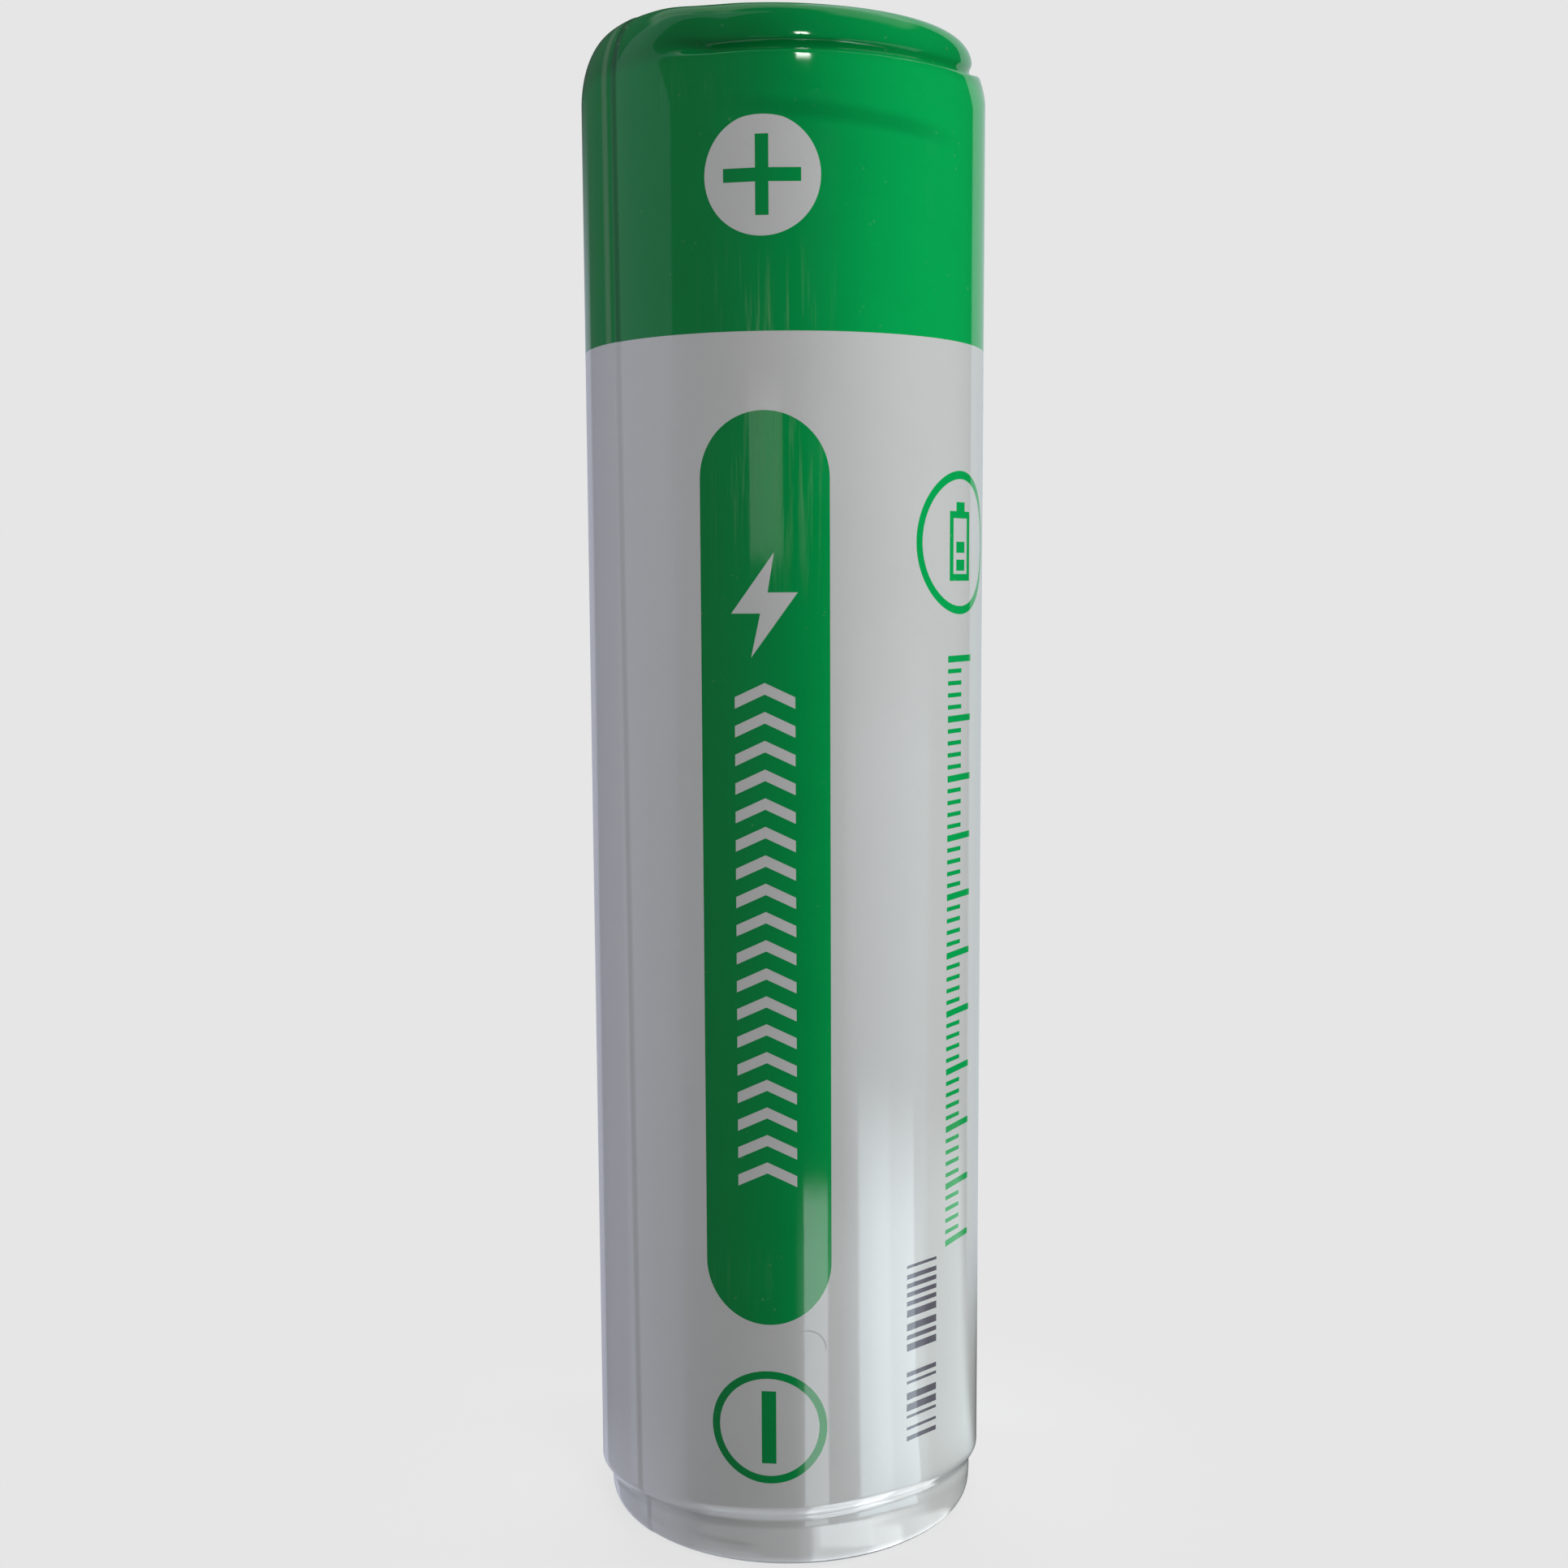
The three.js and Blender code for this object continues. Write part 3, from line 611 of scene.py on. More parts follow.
def sleeve_piece(materials):
    flat, triangles, ink = printed_faces()
    theta = np.degrees(flat[:, 0] / BODY)
    outer = sleeve_point(theta, flat[:, 1])
    outer_normal = sleeve_normal(theta, flat[:, 1])

    # The two edges of the unrolled film are one line on the cell
    seam = {round(v, 4): i for i, (angle, v) in enumerate(zip(theta, flat[:, 1])) if angle < -179.99}
    for i in np.flatnonzero(theta > 179.99):
        triangles[triangles == i] = seam[round(flat[i, 1], 4)]

    # The inner face is a coarser grid that shares its columns with the two cut edges
    rows = sleeve_rows()
    ends = [*rows[:BOTTOM_ROWS:3], *rows[-TOP_ROWS::3], rows[-1]]
    inner_rows = np.unique([*ends, *rows[BOTTOM_ROWS:-TOP_ROWS:4]])
    columns = COLUMNS[:-1]
    grid_theta, grid_v = (side.ravel() for side in np.meshgrid(columns, inner_rows))
    normal = sleeve_normal(grid_theta, grid_v)
    inner = sleeve_point(grid_theta, grid_v) - FILM * normal
    base = len(outer)
    count = len(columns)

    def inner_index(row, column):
        return base + row * count + column % count

    faces = triangles.tolist()
    normals = [outer_normal[triangles].reshape(-1, 3)]
    slots = ink.tolist()
    for row in range(len(inner_rows) - 1):
        for column in range(count):
            face = [
                inner_index(row, column),
                inner_index(row + 1, column),
                inner_index(row + 1, column + 1),
                inner_index(row, column + 1),
            ]
            faces.append(face)
            normals.append(-normal[np.array(face) - base])
            slots.append(0)

    edge_of = {}
    for i, (angle, v) in enumerate(zip(theta, flat[:, 1])):
        if abs(v - rows[0]) < 1e-6 or abs(v - rows[-1]) < 1e-6:
            edge_of[(round(angle, 4), v > BOTTOM_ZONE)] = i
    for top, row in ((False, 0), (True, len(inner_rows) - 1)):
        for column in range(count):
            here = edge_of[(round(columns[column], 4), top)]
            ahead = edge_of[(round(columns[(column + 1) % count], 4), top)]
            face = [here, ahead, inner_index(row, column + 1), inner_index(row, column)]
            faces.append(face if top else face[::-1])
            rim = np.radians(columns[column])
            normals.append(np.tile([-math.sin(rim), math.cos(rim), 0], (4, 1)))
            slots.append(0)

    points = np.concatenate([outer, inner])
    used = np.unique(np.concatenate([np.ravel(face) for face in faces]))
    renumber = np.full(len(points), -1)
    renumber[used] = np.arange(len(used))
    faces = [renumber[face].tolist() for face in faces]
    return make_object("sleeve_film", points[used], faces, materials, slots, np.concatenate(normals))


def turned(name, outline, material, relief):
    """A closed outline of [radius, z] points turned about Z. relief(x, y, z) gives a rise along Z."""
    segments = 160
    on_axis = outline[:, 0] < 1e-9
    turn = np.linspace(0, 2 * math.pi, segments, endpoint=False)
    points = []
    first = []
    for (radius, z), pole in zip(outline, on_axis):
        first.append(len(points))
        spokes = turn[:1] if pole else turn
        points += [(radius * math.sin(a), -radius * math.cos(a), z) for a in spokes]
    faces = []
    for i in range(len(outline)):
        j = (i + 1) % len(outline)
        if on_axis[i] and on_axis[j]:
            continue
        for k in range(segments):
            m = (k + 1) % segments
            low = [first[i]] if on_axis[i] else [first[i] + k, first[i] + m]
            high = [first[j]] if on_axis[j] else [first[j] + m, first[j] + k]
            faces.append(low + high)
    points = np.array(points)
    points[:, 2] += relief(*points.T)
    return make_object(name, points, faces, [material], sharp=35)


def sheet_outline(path, thickness):
    """The closed outline of a sheet: the path is its upper face, and the lower one lies below it."""
    ahead = np.gradient(path, axis=0)
    ahead /= np.linalg.norm(ahead, axis=1)[:, None]
    below = path + thickness * np.stack([ahead[:, 1], -ahead[:, 0]], axis=1)
    below[:, 0] = np.where(path[:, 0] < 1e-9, 0, below[:, 0])
    return np.concatenate([path, below[::-1]])[::-1]


# ---------------------------- materials

class Graph:
    """A material's or world's node tree with short ways to add nodes."""

    def __init__(self, tree):
        self.tree = tree
        self.tree.nodes.clear()

    def add(self, kind, values=None, **settings):
        node = self.tree.nodes.new("ShaderNode" + kind)
        for key, value in settings.items():
            setattr(node, key, value)
        for key, value in (values or {}).items():
            self.put(node, key, value)
        return node

    def put(self, node, key, value):
        if isinstance(value, bpy.types.NodeSocket):
            self.tree.links.new(value, node.inputs[key])
        else:
            node.inputs[key].default_value = value

    def maths(self, operation, a, b=0.0):
        return self.add("Math", {0: a, 1: b}, operation=operation).outputs[0]

    def times(self, a, b):
        return self.maths("MULTIPLY", a, b)

    def minus(self, a, b):
        return self.maths("SUBTRACT", a, b)

    def gap(self, a, b):
        return self.maths("ABSOLUTE", self.minus(a, b))

    def length(self, vector):
        return self.add("VectorMath", {0: vector}, operation="LENGTH").outputs["Value"]

    def window(self, value, low, high, start=0.0, end=1.0):
        """start where value is below low, end above high, and smooth between."""
        values = {"From Min": low, "From Max": high, "To Min": start, "To Max": end, "Value": value}
        return self.add("MapRange", values, interpolation_type="SMOOTHSTEP").outputs[0]

    def mix(self, factor, a, b):
        node = self.add("Mix", data_type="RGBA")
        self.put(node, 0, factor)
        self.put(node, 6, a)
        self.put(node, 7, b)
        return node.outputs[2]


def new_material(name):
    material = bpy.data.materials.new(name)
    material.use_nodes = True
    return material


def shade(colour, factor):
    return tuple(min(1, channel * factor) for channel in colour) + (1,)


def azimuth_of(graph, x, y):
    return graph.maths("DEGREES", graph.maths("ARCTAN2", x, graph.times(y, -1.0)))


class Surface(Graph):
    """A material with one Principled shader, whose patterns follow the object in millimetres."""

    def __init__(self, name, **values):
        self.material = new_material(name)
        super().__init__(self.material.node_tree)
        self.shader = self.add("BsdfPrincipled", {key.replace("_", " "): v for key, v in values.items()})
        self.add("OutputMaterial", {0: self.shader.outputs[0]})
        self.place = self.add("TexCoord").outputs["Object"]
        self.height = None

    def grid(self, size, stretch):
        """The place in steps of size millimetres, longer along an axis with a larger stretch."""
        scale = [1 / (size * MM * s) for s in stretch]
        return self.add("Mapping", {"Vector": self.place, "Scale": scale}).outputs[0]

    def noise(self, size, stretch=(1, 1, 1), detail=2.0, roughness=0.5, distortion=0.0):
        """Noise whose grains are about size millimetres."""
        values = {"Vector": self.grid(size, stretch), "Scale": 1.0, "Detail": detail}
        values.update({"Roughness": roughness, "Distortion": distortion})
        return self.add("TexNoise", values).outputs["Fac"]

    def cells(self, size, stretch=(1, 1, 1), feature="F1"):
        """Distance to the nearest cell's point, or to its edge, in steps of size millimetres."""
        values = {"Vector": self.grid(size, stretch), "Scale": 1.0}
        return self.add("TexVoronoi", values, feature=feature).outputs["Distance"]

    def tones(self, share, colour, low, high):
        """The colour times low where the share is 0, and times high where it is 1."""
        return self.mix(share, shade(colour, low), shade(colour, high))

    def colour(self, value):
        self.put(self.shader, "Base Color", value)

    def rough(self, value):
        self.put(self.shader, "Roughness", value)

    def raise_by(self, height, depth, strength=1.0):
        """Adds a bump of that depth in millimetres on top of those already made."""
        values = {"Height": height, "Distance": depth * MM, "Strength": strength}
        if self.height is not None:
            values["Normal"] = self.height
        self.height = self.add("Bump", values).outputs[0]
        self.put(self.shader, "Normal", self.height)


def hairline_crease(skin, across, back, up):
    """1 along a short curved hairline in the film, just below the long label."""
    centre_x, centre_z, radius = 0.75, 10.7, 0.86
    x = skin.minus(across, centre_x * MM)
    z = skin.minus(up, centre_z * MM)
    reach = skin.length(skin.add("CombineXYZ", {0: x, 1: z}).outputs[0])
    line = skin.window(skin.gap(reach, radius * MM), 0.01 * MM, 0.05 * MM, 1, 0)
    line = skin.times(line, skin.window(z, -0.3 * MM, 0.2 * MM))
    line = skin.times(line, skin.window(x, -0.4 * MM, 0.1 * MM))
    return skin.times(line, skin.maths("LESS_THAN", back, 0.0))


def strip_line(skin, across, back, up, offset, half_width):
    """1 along a line that keeps an angle of offset degrees from the raised strip's edge."""
    slope = (STRIP_EDGE_TOP - STRIP_EDGE_BOTTOM) / (TOP * MM)
    edge = skin.maths("ADD", skin.times(up, slope), STRIP_EDGE_BOTTOM + offset)
    away = skin.gap(azimuth_of(skin, across, back), edge)
    return skin.window(away, 0.3 * half_width, 1.4 * half_width, 1, 0)


def bead_shadow(skin, across, up):
    """1, and less by depth along the lower side of the shallow bead."""
    depth, below = 0.22, 0.3
    level = skin.maths("ADD", up, skin.times(across, BEAD_FALL / BODY))
    line = skin.window(skin.gap(level, (BEAD_Z - below) * MM), 0.1 * MM, 0.6 * MM, 1, 0)
    line = skin.times(line, skin.window(across, -4 * MM, 2 * MM))
    line = skin.times(line, skin.window(across, 5 * MM, 8 * MM, 1, 0))
    return skin.minus(1.0, skin.times(line, depth))


def scuffs(skin, across, up):
    """Lengthwise scuff lines: 1 where the cell is handled most, and fainter in stray patches."""
    lines = skin.window(skin.noise(0.26, stretch=(1, 1, 26), detail=3, roughness=0.65), 0.5, 0.76)
    handled = skin.window(skin.gap(across, -0.7 * MM), 1.2 * MM, 3.4 * MM, 1, 0)
    handled = skin.times(handled, skin.window(up, 43 * MM, 49 * MM))
    handled = skin.times(handled, skin.window(up, 56 * MM, 60 * MM, 1, 0))
    stray = skin.window(skin.noise(7, detail=1), 0.62, 0.8, 0, 0.3)
    return skin.times(lines, skin.maths("MAXIMUM", handled, stray))


def dust(skin):
    """1 on fine specks, which gather in patches."""
    speck = skin.window(skin.cells(0.55), 0.08, 0.16, 1, 0)
    return skin.times(speck, skin.window(skin.noise(3.1, detail=2), 0.52, 0.7))


def film(name, colour, mottle, painted_side_light=None):
    """Glossy printed shrink film, scuffed lengthwise where the cell is handled most.

    A print given the fourth argument has painted light and shade: it brightens from its first
    value on the -X side to its second on the +X side. It also has painted shade over the rim and
    along the strip's edge, and a painted highlight in a pale line beside that edge.
    """
    skin = Surface(name, IOR=1.5)
    across, back, up = skin.add("SeparateXYZ", {0: skin.place}).outputs
    scuff = scuffs(skin, across, up)
    marks = skin.maths("MAXIMUM", skin.times(scuff, 0.11), skin.times(dust(skin), 0.08))
    # Painted shade: a dark line along the raised strip's edge, used by both kinds of print
    edge = strip_line(skin, across, back, up, 0, 1.2)
    if painted_side_light is None:
        hairline = skin.times(hairline_crease(skin, across, back, up), 0.45)
        shadow = skin.maths("MAXIMUM", hairline, skin.times(edge, 0.13))
        brightness = skin.minus(1.0, shadow)
    else:
        # Painted shade over the rim: 0.76 as bright from just below the crease up, and darker along the
        # strip's edge
        rim = skin.window(up, 66.6 * MM, 67.4 * MM, 1, 0.76)
        rim = skin.minus(rim, skin.times(edge, 0.38))
        # Painted light and shade: the print is darker towards -X and brighter towards +X
        brightness = skin.times(skin.window(across, -5.5 * MM, 6.5 * MM, *painted_side_light), rim)
        brightness = skin.times(brightness, bead_shadow(skin, across, up))
        # Painted highlight: a pale line along the film's ridge beside the strip's edge
        painted_ridge_highlight = strip_line(skin, across, back, up, -4.8, 1.6)
        marks = skin.maths("MAXIMUM", marks, skin.times(painted_ridge_highlight, 0.13))
    cloud = skin.times(skin.noise(2.2, detail=4, roughness=0.6), 0.6)
    cloud = skin.maths("ADD", cloud, skin.times(skin.noise(0.16, detail=2), 0.4))
    tinted = skin.tones(cloud, colour, 1 - mottle, 1 + mottle)
    ink_with_painted_light = skin.add("VectorMath", {0: tinted, "Scale": brightness}, operation="SCALE").outputs[0]
    # Scuffs and dust take a pale colour, and on a print with side light so does the painted highlight
    # line
    skin.colour(skin.mix(marks, ink_with_painted_light, (0.62, 0.62, 0.55, 1)))
    smear = skin.window(skin.noise(3.5, stretch=(1, 1, 2), detail=3), 0.35, 0.7, 0.03, 0.075)
    skin.rough(skin.maths("ADD", smear, skin.times(scuff, 0.2)))
    skin.raise_by(skin.noise(1.1, stretch=(1, 1, 1.6), detail=2), 0.005, 0.4)
    skin.raise_by(scuff, 0.002, 0.4)
    return skin.material


def metal(name, colour, rough_low, rough_high, grain, size=0.3):
    """Plated or rolled sheet metal: drawn grain, a cloudy sheen and a few handling marks."""
    skin = Surface(name, Metallic=1.0)
    lines = skin.noise(size, stretch=grain, detail=4, roughness=0.65)
    cloud = skin.noise(2.4, detail=3)
    skin.colour(skin.tones(cloud, colour, 0.88, 1.06))
    sheen = skin.window(cloud, 0.3, 0.7, rough_low, rough_high)
    skin.rough(skin.maths("ADD", sheen, skin.times(lines, 0.08)))
    skin.raise_by(lines, 0.006, 0.6)
    edges = skin.cells(1.7, stretch=(1, 3, 1), feature="DISTANCE_TO_EDGE")
    marks = skin.window(edges, 0.0, 0.03, 1, 0)
    skin.raise_by(skin.times(marks, skin.window(cloud, 0.5, 0.62)), 0.004, 0.5)
    return skin.material


def paper(name, colour):
    """Pressed fibre sheet, matt, with short fibres and specks."""
    skin = Surface(name, Roughness=0.85)
    along = skin.noise(0.35, stretch=(5, 1, 1), detail=4, roughness=0.7)
    across = skin.noise(0.35, stretch=(1, 5, 1), detail=4, roughness=0.7)
    felt = skin.maths("MAXIMUM", along, across)
    speck = skin.window(skin.cells(0.9), 0.03, 0.07, 1, 0)
    tone = skin.tones(felt, colour, 0.84, 1.08)
    skin.colour(skin.mix(skin.times(speck, 0.35), tone, shade(colour, 0.45)))
    skin.raise_by(felt, 0.03, 0.7)
    return skin.material


def plastic(name, colour, rough=0.42, texture=0.01):
    """Moulded plastic with a fine eroded texture and faint flow marks."""
    skin = Surface(name, IOR=1.48)
    flow = skin.noise(3.0, stretch=(1, 2, 1), detail=3, distortion=0.6)
    grain = skin.noise(0.12, detail=3)
    skin.colour(skin.tones(flow, colour, 0.93, 1.05))
    skin.rough(skin.window(grain, 0.25, 0.75, rough - 0.07, rough + 0.09))
    skin.raise_by(grain, texture, 0.6)
    return skin.material


def tape(name, colour, rough=0.3):
    """Adhesive tape with lengthwise tension lines and trapped air."""
    skin = Surface(name, IOR=1.5, Coat_Weight=0.25, Coat_Roughness=0.12)
    lines = skin.noise(0.5, stretch=(1, 1, 14), detail=3)
    air = skin.window(skin.cells(1.4), 0.05, 0.16, 1, 0)
    tone = skin.tones(lines, colour, 0.85, 1.12)
    skin.colour(skin.mix(skin.times(air, 0.3), tone, shade(colour, 1.5)))
    skin.rough(skin.window(lines, 0.3, 0.7, rough - 0.06, rough + 0.1))
    skin.raise_by(lines, 0.008, 0.5)
    return skin.material


def coating(name, colour, rough=0.75):
    """Electrode powder rolled onto foil: matt, granular, with calender streaks."""
    skin = Surface(name)
    powder = skin.noise(0.07, detail=5, roughness=0.75)
    streak = skin.noise(0.8, stretch=(9, 9, 1), detail=2)
    tone = skin.tones(powder, colour, 0.65, 1.4)
    skin.colour(skin.mix(skin.window(streak, 0.45, 0.7, 0, 0.5), tone, shade(colour, 1.7)))
    skin.rough(skin.window(powder, 0.3, 0.7, rough - 0.1, rough + 0.12))
    skin.raise_by(powder, 0.02, 0.8)
    return skin.material


def laminate(name, colour):
    """Board laminate: glass weave under solder mask, with lighter, raised copper areas."""
    skin = Surface(name, IOR=1.52, Coat_Weight=0.4, Coat_Roughness=0.15)
    warp = skin.noise(0.28, stretch=(1, 7, 1), detail=1)
    weft = skin.noise(0.28, stretch=(7, 1, 1), detail=1)
    weave = skin.times(warp, weft)
    copper = skin.window(skin.noise(3.2, detail=0), 0.48, 0.5)
    tone = skin.tones(copper, colour, 0.8, 1.35)
    skin.colour(skin.mix(skin.window(weave, 0.15, 0.4, 0, 0.35), tone, shade(colour, 1.6)))
    skin.rough(skin.window(weave, 0.15, 0.4, 0.32, 0.46))
    skin.raise_by(weave, 0.015, 0.6)
    skin.raise_by(copper, 0.02, 0.6)
    return skin.material


def ceramic(name, colour):
    """Fired chip body, matt and grainy."""
    skin = Surface(name, IOR=1.6)
    fired = skin.noise(0.12, detail=4, roughness=0.7)
    skin.colour(skin.tones(fired, colour, 0.75, 1.2))
    skin.rough(skin.window(fired, 0.3, 0.7, 0.4, 0.62))
    skin.raise_by(fired, 0.012, 0.7)
    return skin.material


nickel = metal("nickel_plate", (0.74, 0.72, 0.67), 0.2, 0.36, (1, 1, 1), 0.5)
MATERIALS = {
    "fibre_paper": paper("fibre_paper", (0.80, 0.78, 0.72)),
    "nickel_plate": nickel,
    "plated_steel": metal("plated_steel", (0.62, 0.63, 0.64), 0.24, 0.42, (1, 1, 18)),
    "polymer_carbon": coating("polymer_carbon", (0.02, 0.02, 0.022), 0.65),
    "aluminium_sheet": metal("aluminium_sheet", (0.78, 0.79, 0.80), 0.3, 0.48, (1, 12, 1)),
    "moulded_insulator": plastic("moulded_insulator", (0.68, 0.71, 0.73)),
    "amber_tape": tape("amber_tape", (0.50, 0.26, 0.03)),
    "anode_coating": coating("anode_coating", (0.045, 0.038, 0.035), 0.65),
    "separator_film": plastic("separator_film", (0.84, 0.85, 0.83), 0.5, 0.004),
    "cathode_coating": coating("cathode_coating", (0.016, 0.016, 0.018)),
    "blue_tape": tape("blue_tape", (0.03, 0.13, 0.40), 0.34),
    "board_laminate": laminate("board_laminate", (0.012, 0.10, 0.04)),
    "chip_package": plastic("chip_package", (0.012, 0.012, 0.014), 0.55, 0.02),
    "chip_resistor": ceramic("chip_resistor", (0.018, 0.018, 0.02)),
    "capacitor_ceramic": ceramic("capacitor_ceramic", (0.33, 0.20, 0.10)),
}


# ---------------------------- pieces

def place_piece(piece, node):
    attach(piece, "root")
    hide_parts(node)


def button_piece():
    """Pressed contact cap: a dished top, a drawn wall and a flange with four spot welds."""
    low, high = cad_box("positive_button")
    sheet = 0.2
    top = high[2]
    flange = high[0]
    flange_z = low[2] + sheet
    wall = 2.95
    path = rounded([
        [0, top - 0.03],
        [1.7, top - 0.03, 0.6],
        [2.15, top, 0.5],
        [wall - 0.06, top, 0.3],
        [wall, flange_z, 0.22],
        [flange, flange_z],
    ])
    outline = sheet_outline(resampled(path, 64), sheet)
    weld_circle = 3.42

    def welds(x, y, z):
        """Each spot weld is a dent in a low raised ring."""
        rise = np.zeros(len(x))
        for angle in (30, 150, 210, 330):
            turn = math.radians(angle)
            away = np.hypot(x - weld_circle * math.sin(turn), y + weld_circle * math.cos(turn))
            rise += 0.02 * mound(away, 0.36, 0.12) - 0.05 * mound(away, 0, 0.22)
        return rise * (np.hypot(x, y) > wall + 0.1)

    piece = turned("contact_button", outline, nickel, welds)
    place_piece(piece, "positive_button")


def top_ring_piece():
    """Punched fibre washer, slightly cockled, with eased edges."""
    low, high = cad_box("positive_insulator_ring")
    inner, outer = 4.1, high[0]
    ease = 0.06
    upper = rounded([
        [inner, low[2] + ease],
        [inner, high[2], ease],
        [outer, high[2], ease],
        [outer, low[2] + ease],
    ], 3)
    outline = np.concatenate([resampled(upper, 44), [[outer - ease, low[2]], [inner + ease, low[2]]]])

    def cockle(x, y, z):
        angle = np.arctan2(x, -y)
        return -0.01 * (1 + np.sin(3 * angle + 0.4)) * (z > low[2] + 0.01)

    piece = turned("top_washer", outline[::-1], MATERIALS["fibre_paper"], cockle)
    place_piece(piece, "positive_insulator_ring")


def plate_piece():
    """Pressed negative contact: a flat face with two coined rings and a stepped rim."""
    low, high = cad_box("negative_contact_plate")
    sheet = 0.3
    bottom = low[2]
    step_z = high[2] - sheet
    face = 5.5
    path = rounded([
        [0, bottom],
        [2.6, bottom, 0.3],
        [2.75, bottom + 0.05, 0.1],
        [2.95, bottom + 0.05, 0.1],
        [3.1, bottom, 0.3],
        [4.7, bottom, 0.3],
        [4.8, bottom + 0.03, 0.1],
        [4.9, bottom, 0.3],
        [face, bottom, 0.25],
        [face + 0.5, step_z, 0.25],
        [high[0], step_z],
    ])
    outline = sheet_outline(resampled(path, 110), -sheet)[::-1]

    def dents(x, y, z):
        return 0.006 * np.sin(1.3 * x + 0.7) * np.sin(1.1 * y + 2.1) * smooth(0.6, 0.2, z)

    piece = turned("contact_plate", outline, nickel, dents)
    place_piece(piece, "negative_contact_plate")


def film_piece():
    films = [
        film("film_white", WHITE, 0.035),
        film("film_green", GREEN, 0.09, (0.64, 1.18)),
        film("film_dark_ink", DARK, 0.2),
    ]
    place_piece(sleeve_piece(films), "outer_sleeve")


def dress_cad_nodes():
    """Gives each CAD node that stays its own finish, by the slot that the record names for it."""
    for row in frame["record"]["subparts"]:
        if row["material_slot"] in MATERIALS:
            node = frame["nodes"][row["node"]]
            node.data.materials.clear()
            node.data.materials.append(MATERIALS[row["material_slot"]])


film_piece()
button_piece()
top_ring_piece()
plate_piece()
dress_cad_nodes()


# ---------------------------- studio

BACKDROP = (0.791, 0.791, 0.791, 1)
TABLE_CENTRE = (0, -BODY / 2, -0.1)
FRONT_LAMP = (54.7, -150.4, 80)


def sky_patches():
    """What the film mirrors round it. Each row has a centre, half width and softness in degrees of
    azimuth, the lowest and highest elevation with the softness beyond each, and a colour."""
    return [
        ((155, 20, 1.5), (-19, 50, 5, 15), (0.52, 0.58, 0.62)),
        ((-166, 15, 6), (-50, 7, 15, 8), (0.34, 0.36, 0.44)),
        ((-88.8, 22.2, 1), (-45, 85, 14, 5), (0.23, 0.27, 0.33)),
        ((-115, 35, 15), (-70, -27, 10, 3), (0.3, 0.32, 0.37)),
        ((62, 24, 8), (-22, -6, 6, 6), (0.6, 0.7, 0.8)),
        ((20, 70, 30), (-83, -47, 7, 10), (0.55, 0.58, 0.62)),
        ((180, 70, 20), (52, 72, 6, 6), (0.45, 0.45, 0.45)),
        ((-11, 9, 1), (1, 5.4, 0.7, 0.7), (1.0, 1.0, 1.0)),
        ((12, 3.5, 1.5), (37, 43, 1.5, 1.5), (24, 24, 23)),
    ]


def table_patches():
    """The same for the lit table top, with the distance from TABLE_CENTRE in millimetres in place
    of the elevation, and the azimuth counted about that point."""
    return [
        ((15.5, 6.5, 1), (9.3, 55, 0.6, 8), (2.8, 3.0, 3.1)),
        ((45, 35, 8), (0, 40, 1, 25), (0.9, 1.0, 1.05)),
        ((59.5, 17.5, 2), (10.2, 50, 0.6, 45), (2.6, 3.0, 3.3)),
        ((50, 8.5, 4), (9.3, 60, 0.6, 50), (0.9, 1.1, 1.2)),
        ((85, 30, 14), (18, 50, 8, 35), (1.2, 1.4, 1.4)),
        ((40, 24, 5), (0, 8.1, 1, 0.9), (3.3, 3.5, 3.6)),
        ((72, 20, 6), (0, 8.8, 1, 0.8), (2.4, 2.5, 2.5)),
        ((34, 14, 4), (6.8, 8.1, 0.6, 0.5), (2.6, 2.8, 2.9)),
        ((-18, 32, 14), (0, 7.8, 1, 1.2), (1.0, 1.05, 1.1)),
    ]


def add_patches(graph, total, azimuth, along, patches):
    """Adds each patch's light to the total, by azimuth and a second measure."""
    for (az, half_az, soft_az), (low, high, soft_low, soft_high), colour in patches:
        away = graph.maths("PINGPONG", graph.minus(azimuth, az), 180.0)
        across = graph.window(away, half_az, half_az + soft_az, 1.0, 0.0)
        above = graph.window(along, low - soft_low, low)
        below = graph.window(along, high, high + soft_high, 1.0, 0.0)
        share = graph.times(across, graph.times(above, below))
        lit = graph.add("VectorMath", {0: colour, "Scale": share}, operation="SCALE").outputs[0]
        total = graph.add("VectorMath", {0: total, 1: lit}, operation="ADD").outputs[0]
    return total


def make_world():
    """The soft studio that glossy rays mirror, with a plain backdrop for the camera."""
    world = bpy.data.worlds.new("studio")
    world.use_nodes = True
    scene.world = world
    world.cycles_visibility.diffuse = False
    graph = Graph(world.node_tree)
    direction = graph.add("TexCoord").outputs["Generated"]
    x, y, z = graph.add("SeparateXYZ", {0: direction}).outputs
    elevation = graph.maths("DEGREES", graph.maths("ARCSINE", z))
    side = graph.window(x, -0.9, 0.3)
    total = graph.mix(side, (0.13, 0.14, 0.15, 1), (0.012, 0.012, 0.012, 1))
    total = add_patches(graph, total, azimuth_of(graph, x, y), elevation, sky_patches())
    lamp = graph.add("Background", {"Color": total})
    backdrop = graph.add("Background", {"Color": BACKDROP})
    to_camera = graph.add("LightPath").outputs["Is Camera Ray"]
    both = graph.add("MixShader", {0: to_camera, 1: lamp.outputs[0], 2: backdrop.outputs[0]})
    graph.add("OutputWorld", {0: both.outputs[0]})


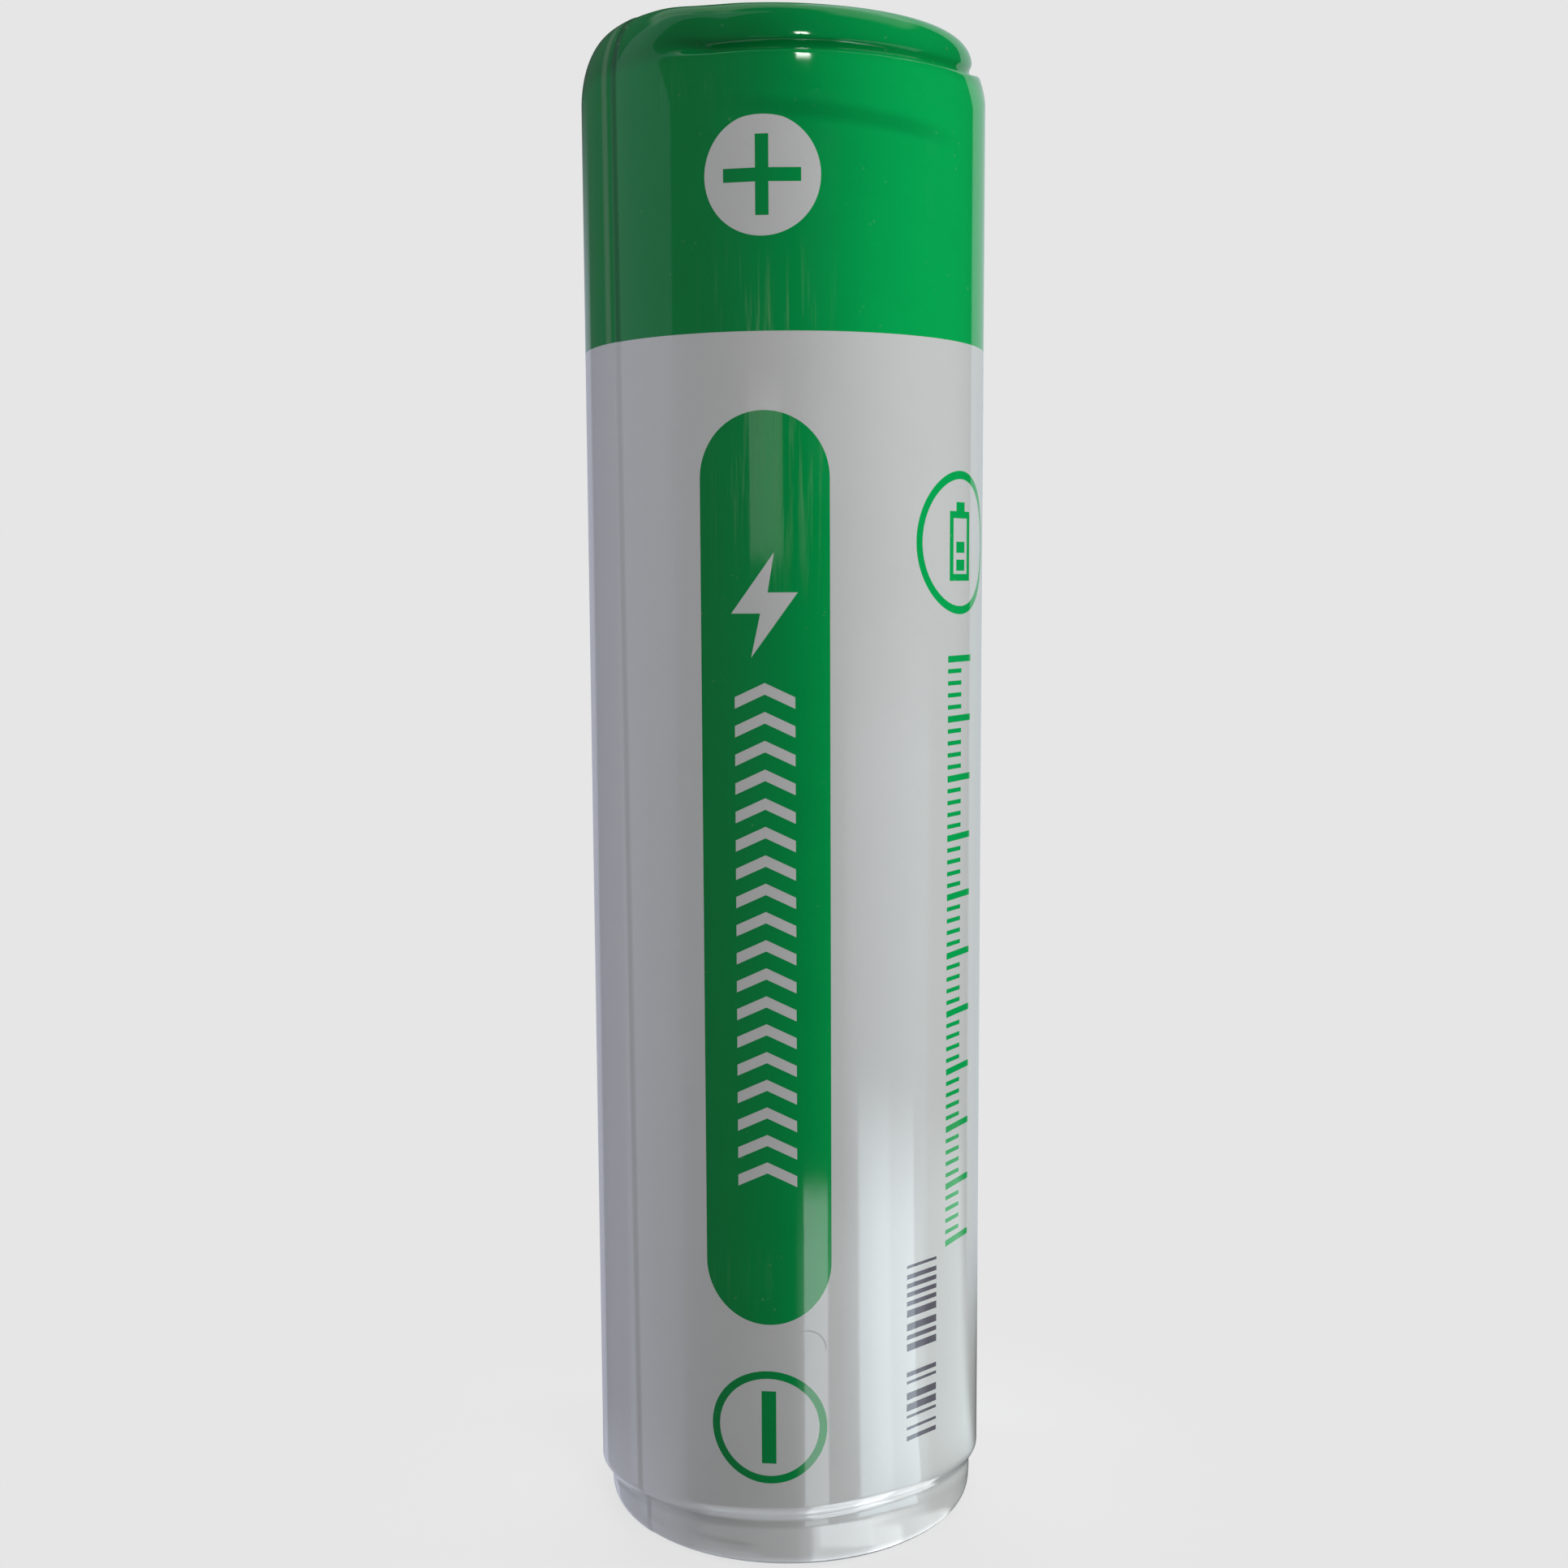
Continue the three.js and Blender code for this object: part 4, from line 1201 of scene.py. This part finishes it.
def square(name, material, half, place=(0, 0, 0)):
    """A level square of the studio, which casts no shadow and sends no light to matt surfaces."""
    mesh = bpy.data.meshes.new(name)
    corners = [(-half, -half, 0), (half, -half, 0), (half, half, 0), (-half, half, 0)]
    mesh.from_pydata(corners, [], [(0, 1, 2, 3)])
    mesh.materials.append(material)
    sheet = bpy.data.objects.new(name, mesh)
    sheet.location = place
    sheet.visible_diffuse = False
    sheet.visible_shadow = False
    scene.collection.objects.link(sheet)
    return sheet


def one_sided(graph, shader, hole=None):
    """Sends the shader to the output on the upper face only, and clears the hole where it is 1."""
    clear_where = graph.add("NewGeometry").outputs["Backfacing"]
    if hole is not None:
        clear_where = graph.maths("MAXIMUM", clear_where, hole)
    clear = graph.add("BsdfTransparent")
    surface = graph.add("MixShader", {0: clear_where, 1: shader.outputs[0], 2: clear.outputs[0]})
    graph.add("OutputMaterial", {0: surface.outputs[0]})


def make_table_light():
    """The lit table top that the lower part of the film mirrors; the camera does not see it."""
    material = new_material("studio_table_light")
    graph = Graph(material.node_tree)
    place = graph.add("TexCoord").outputs["Object"]
    x, y, _ = graph.add("SeparateXYZ", {0: place}).outputs
    reach = graph.times(graph.length(place), 1 / MM)
    total = add_patches(graph, (0, 0, 0), azimuth_of(graph, x, y), reach, table_patches())
    glow = graph.add("Emission", {"Color": total})
    clear = graph.add("BsdfTransparent")
    light = graph.add("AddShader", {0: glow.outputs[0], 1: clear.outputs[0]})
    from_axis = graph.add("VectorMath", {0: place, 1: (0, BODY / 2 * MM, 0)}, operation="DISTANCE")
    under = graph.maths("LESS_THAN", from_axis.outputs["Value"], (FOOT_RADIUS - 0.1) * MM)
    one_sided(graph, light, under)
    sheet = square("table_light", material, 0.4, Vector(TABLE_CENTRE) * MM)
    sheet.visible_camera = False


def add_lamp(name, kind, azimuth, elevation, strength, colour):
    """A lamp for the matt part of every surface, shining towards the cell's axis."""
    data = bpy.data.lights.new(name, kind)
    data.energy = strength
    data.color = colour
    lamp = bpy.data.objects.new(name, data)
    lamp.rotation_euler = (math.radians(90 - elevation), 0, math.radians(azimuth))
    lamp.visible_camera = False
    lamp.visible_glossy = False
    scene.collection.objects.link(lamp)
    return lamp


def make_lamps():
    rows = [
        ("right", 90, 20, 20, 1.88, (0.97, 1.02, 0.99)),
        ("left", -110, 20, 20, 1.98, (0.97, 0.97, 1.10)),
        ("back", 180, 50, 60, 1.7, (1.0, 1.0, 1.0)),
        ("top", 20, 60, 30, 0.7, (1.0, 0.99, 0.97)),
        ("under", 20, -85, 30, 2.0, (0.97, 1.0, 1.04)),
    ]
    for name, azimuth, elevation, spread, strength, colour in rows:
        lamp = add_lamp(name, "SUN", azimuth, elevation, strength, colour)
        lamp.data.angle = math.radians(spread)
    front = add_lamp("front", "AREA", 20, 0, 0.102, (1.0, 0.99, 0.97))
    front.location = Vector(FRONT_LAMP) * MM
    front.data.size = 50 * MM


def make_floor():
    """A pale floor that keeps a faint shadow at the cell's foot and runs into the backdrop."""
    material = new_material("studio_floor")
    graph = Graph(material.node_tree)
    paint = graph.add("BsdfDiffuse", {"Color": (0.13, 0.13, 0.13, 1)})
    glow = graph.add("Emission", {"Color": BACKDROP, "Strength": 0.85})
    near = graph.add("AddShader", {0: paint.outputs[0], 1: glow.outputs[0]})
    far = graph.add("Emission", {"Color": BACKDROP})
    distance = graph.length(graph.add("TexCoord").outputs["Object"])
    fade = graph.window(distance, 8 * MM, 24 * MM)
    one_sided(graph, graph.add("MixShader", {0: fade, 1: near.outputs[0], 2: far.outputs[0]}))
    floor = square("floor", material, 2)
    floor.visible_glossy = False


make_world()
make_table_light()
make_lamps()
make_floor()
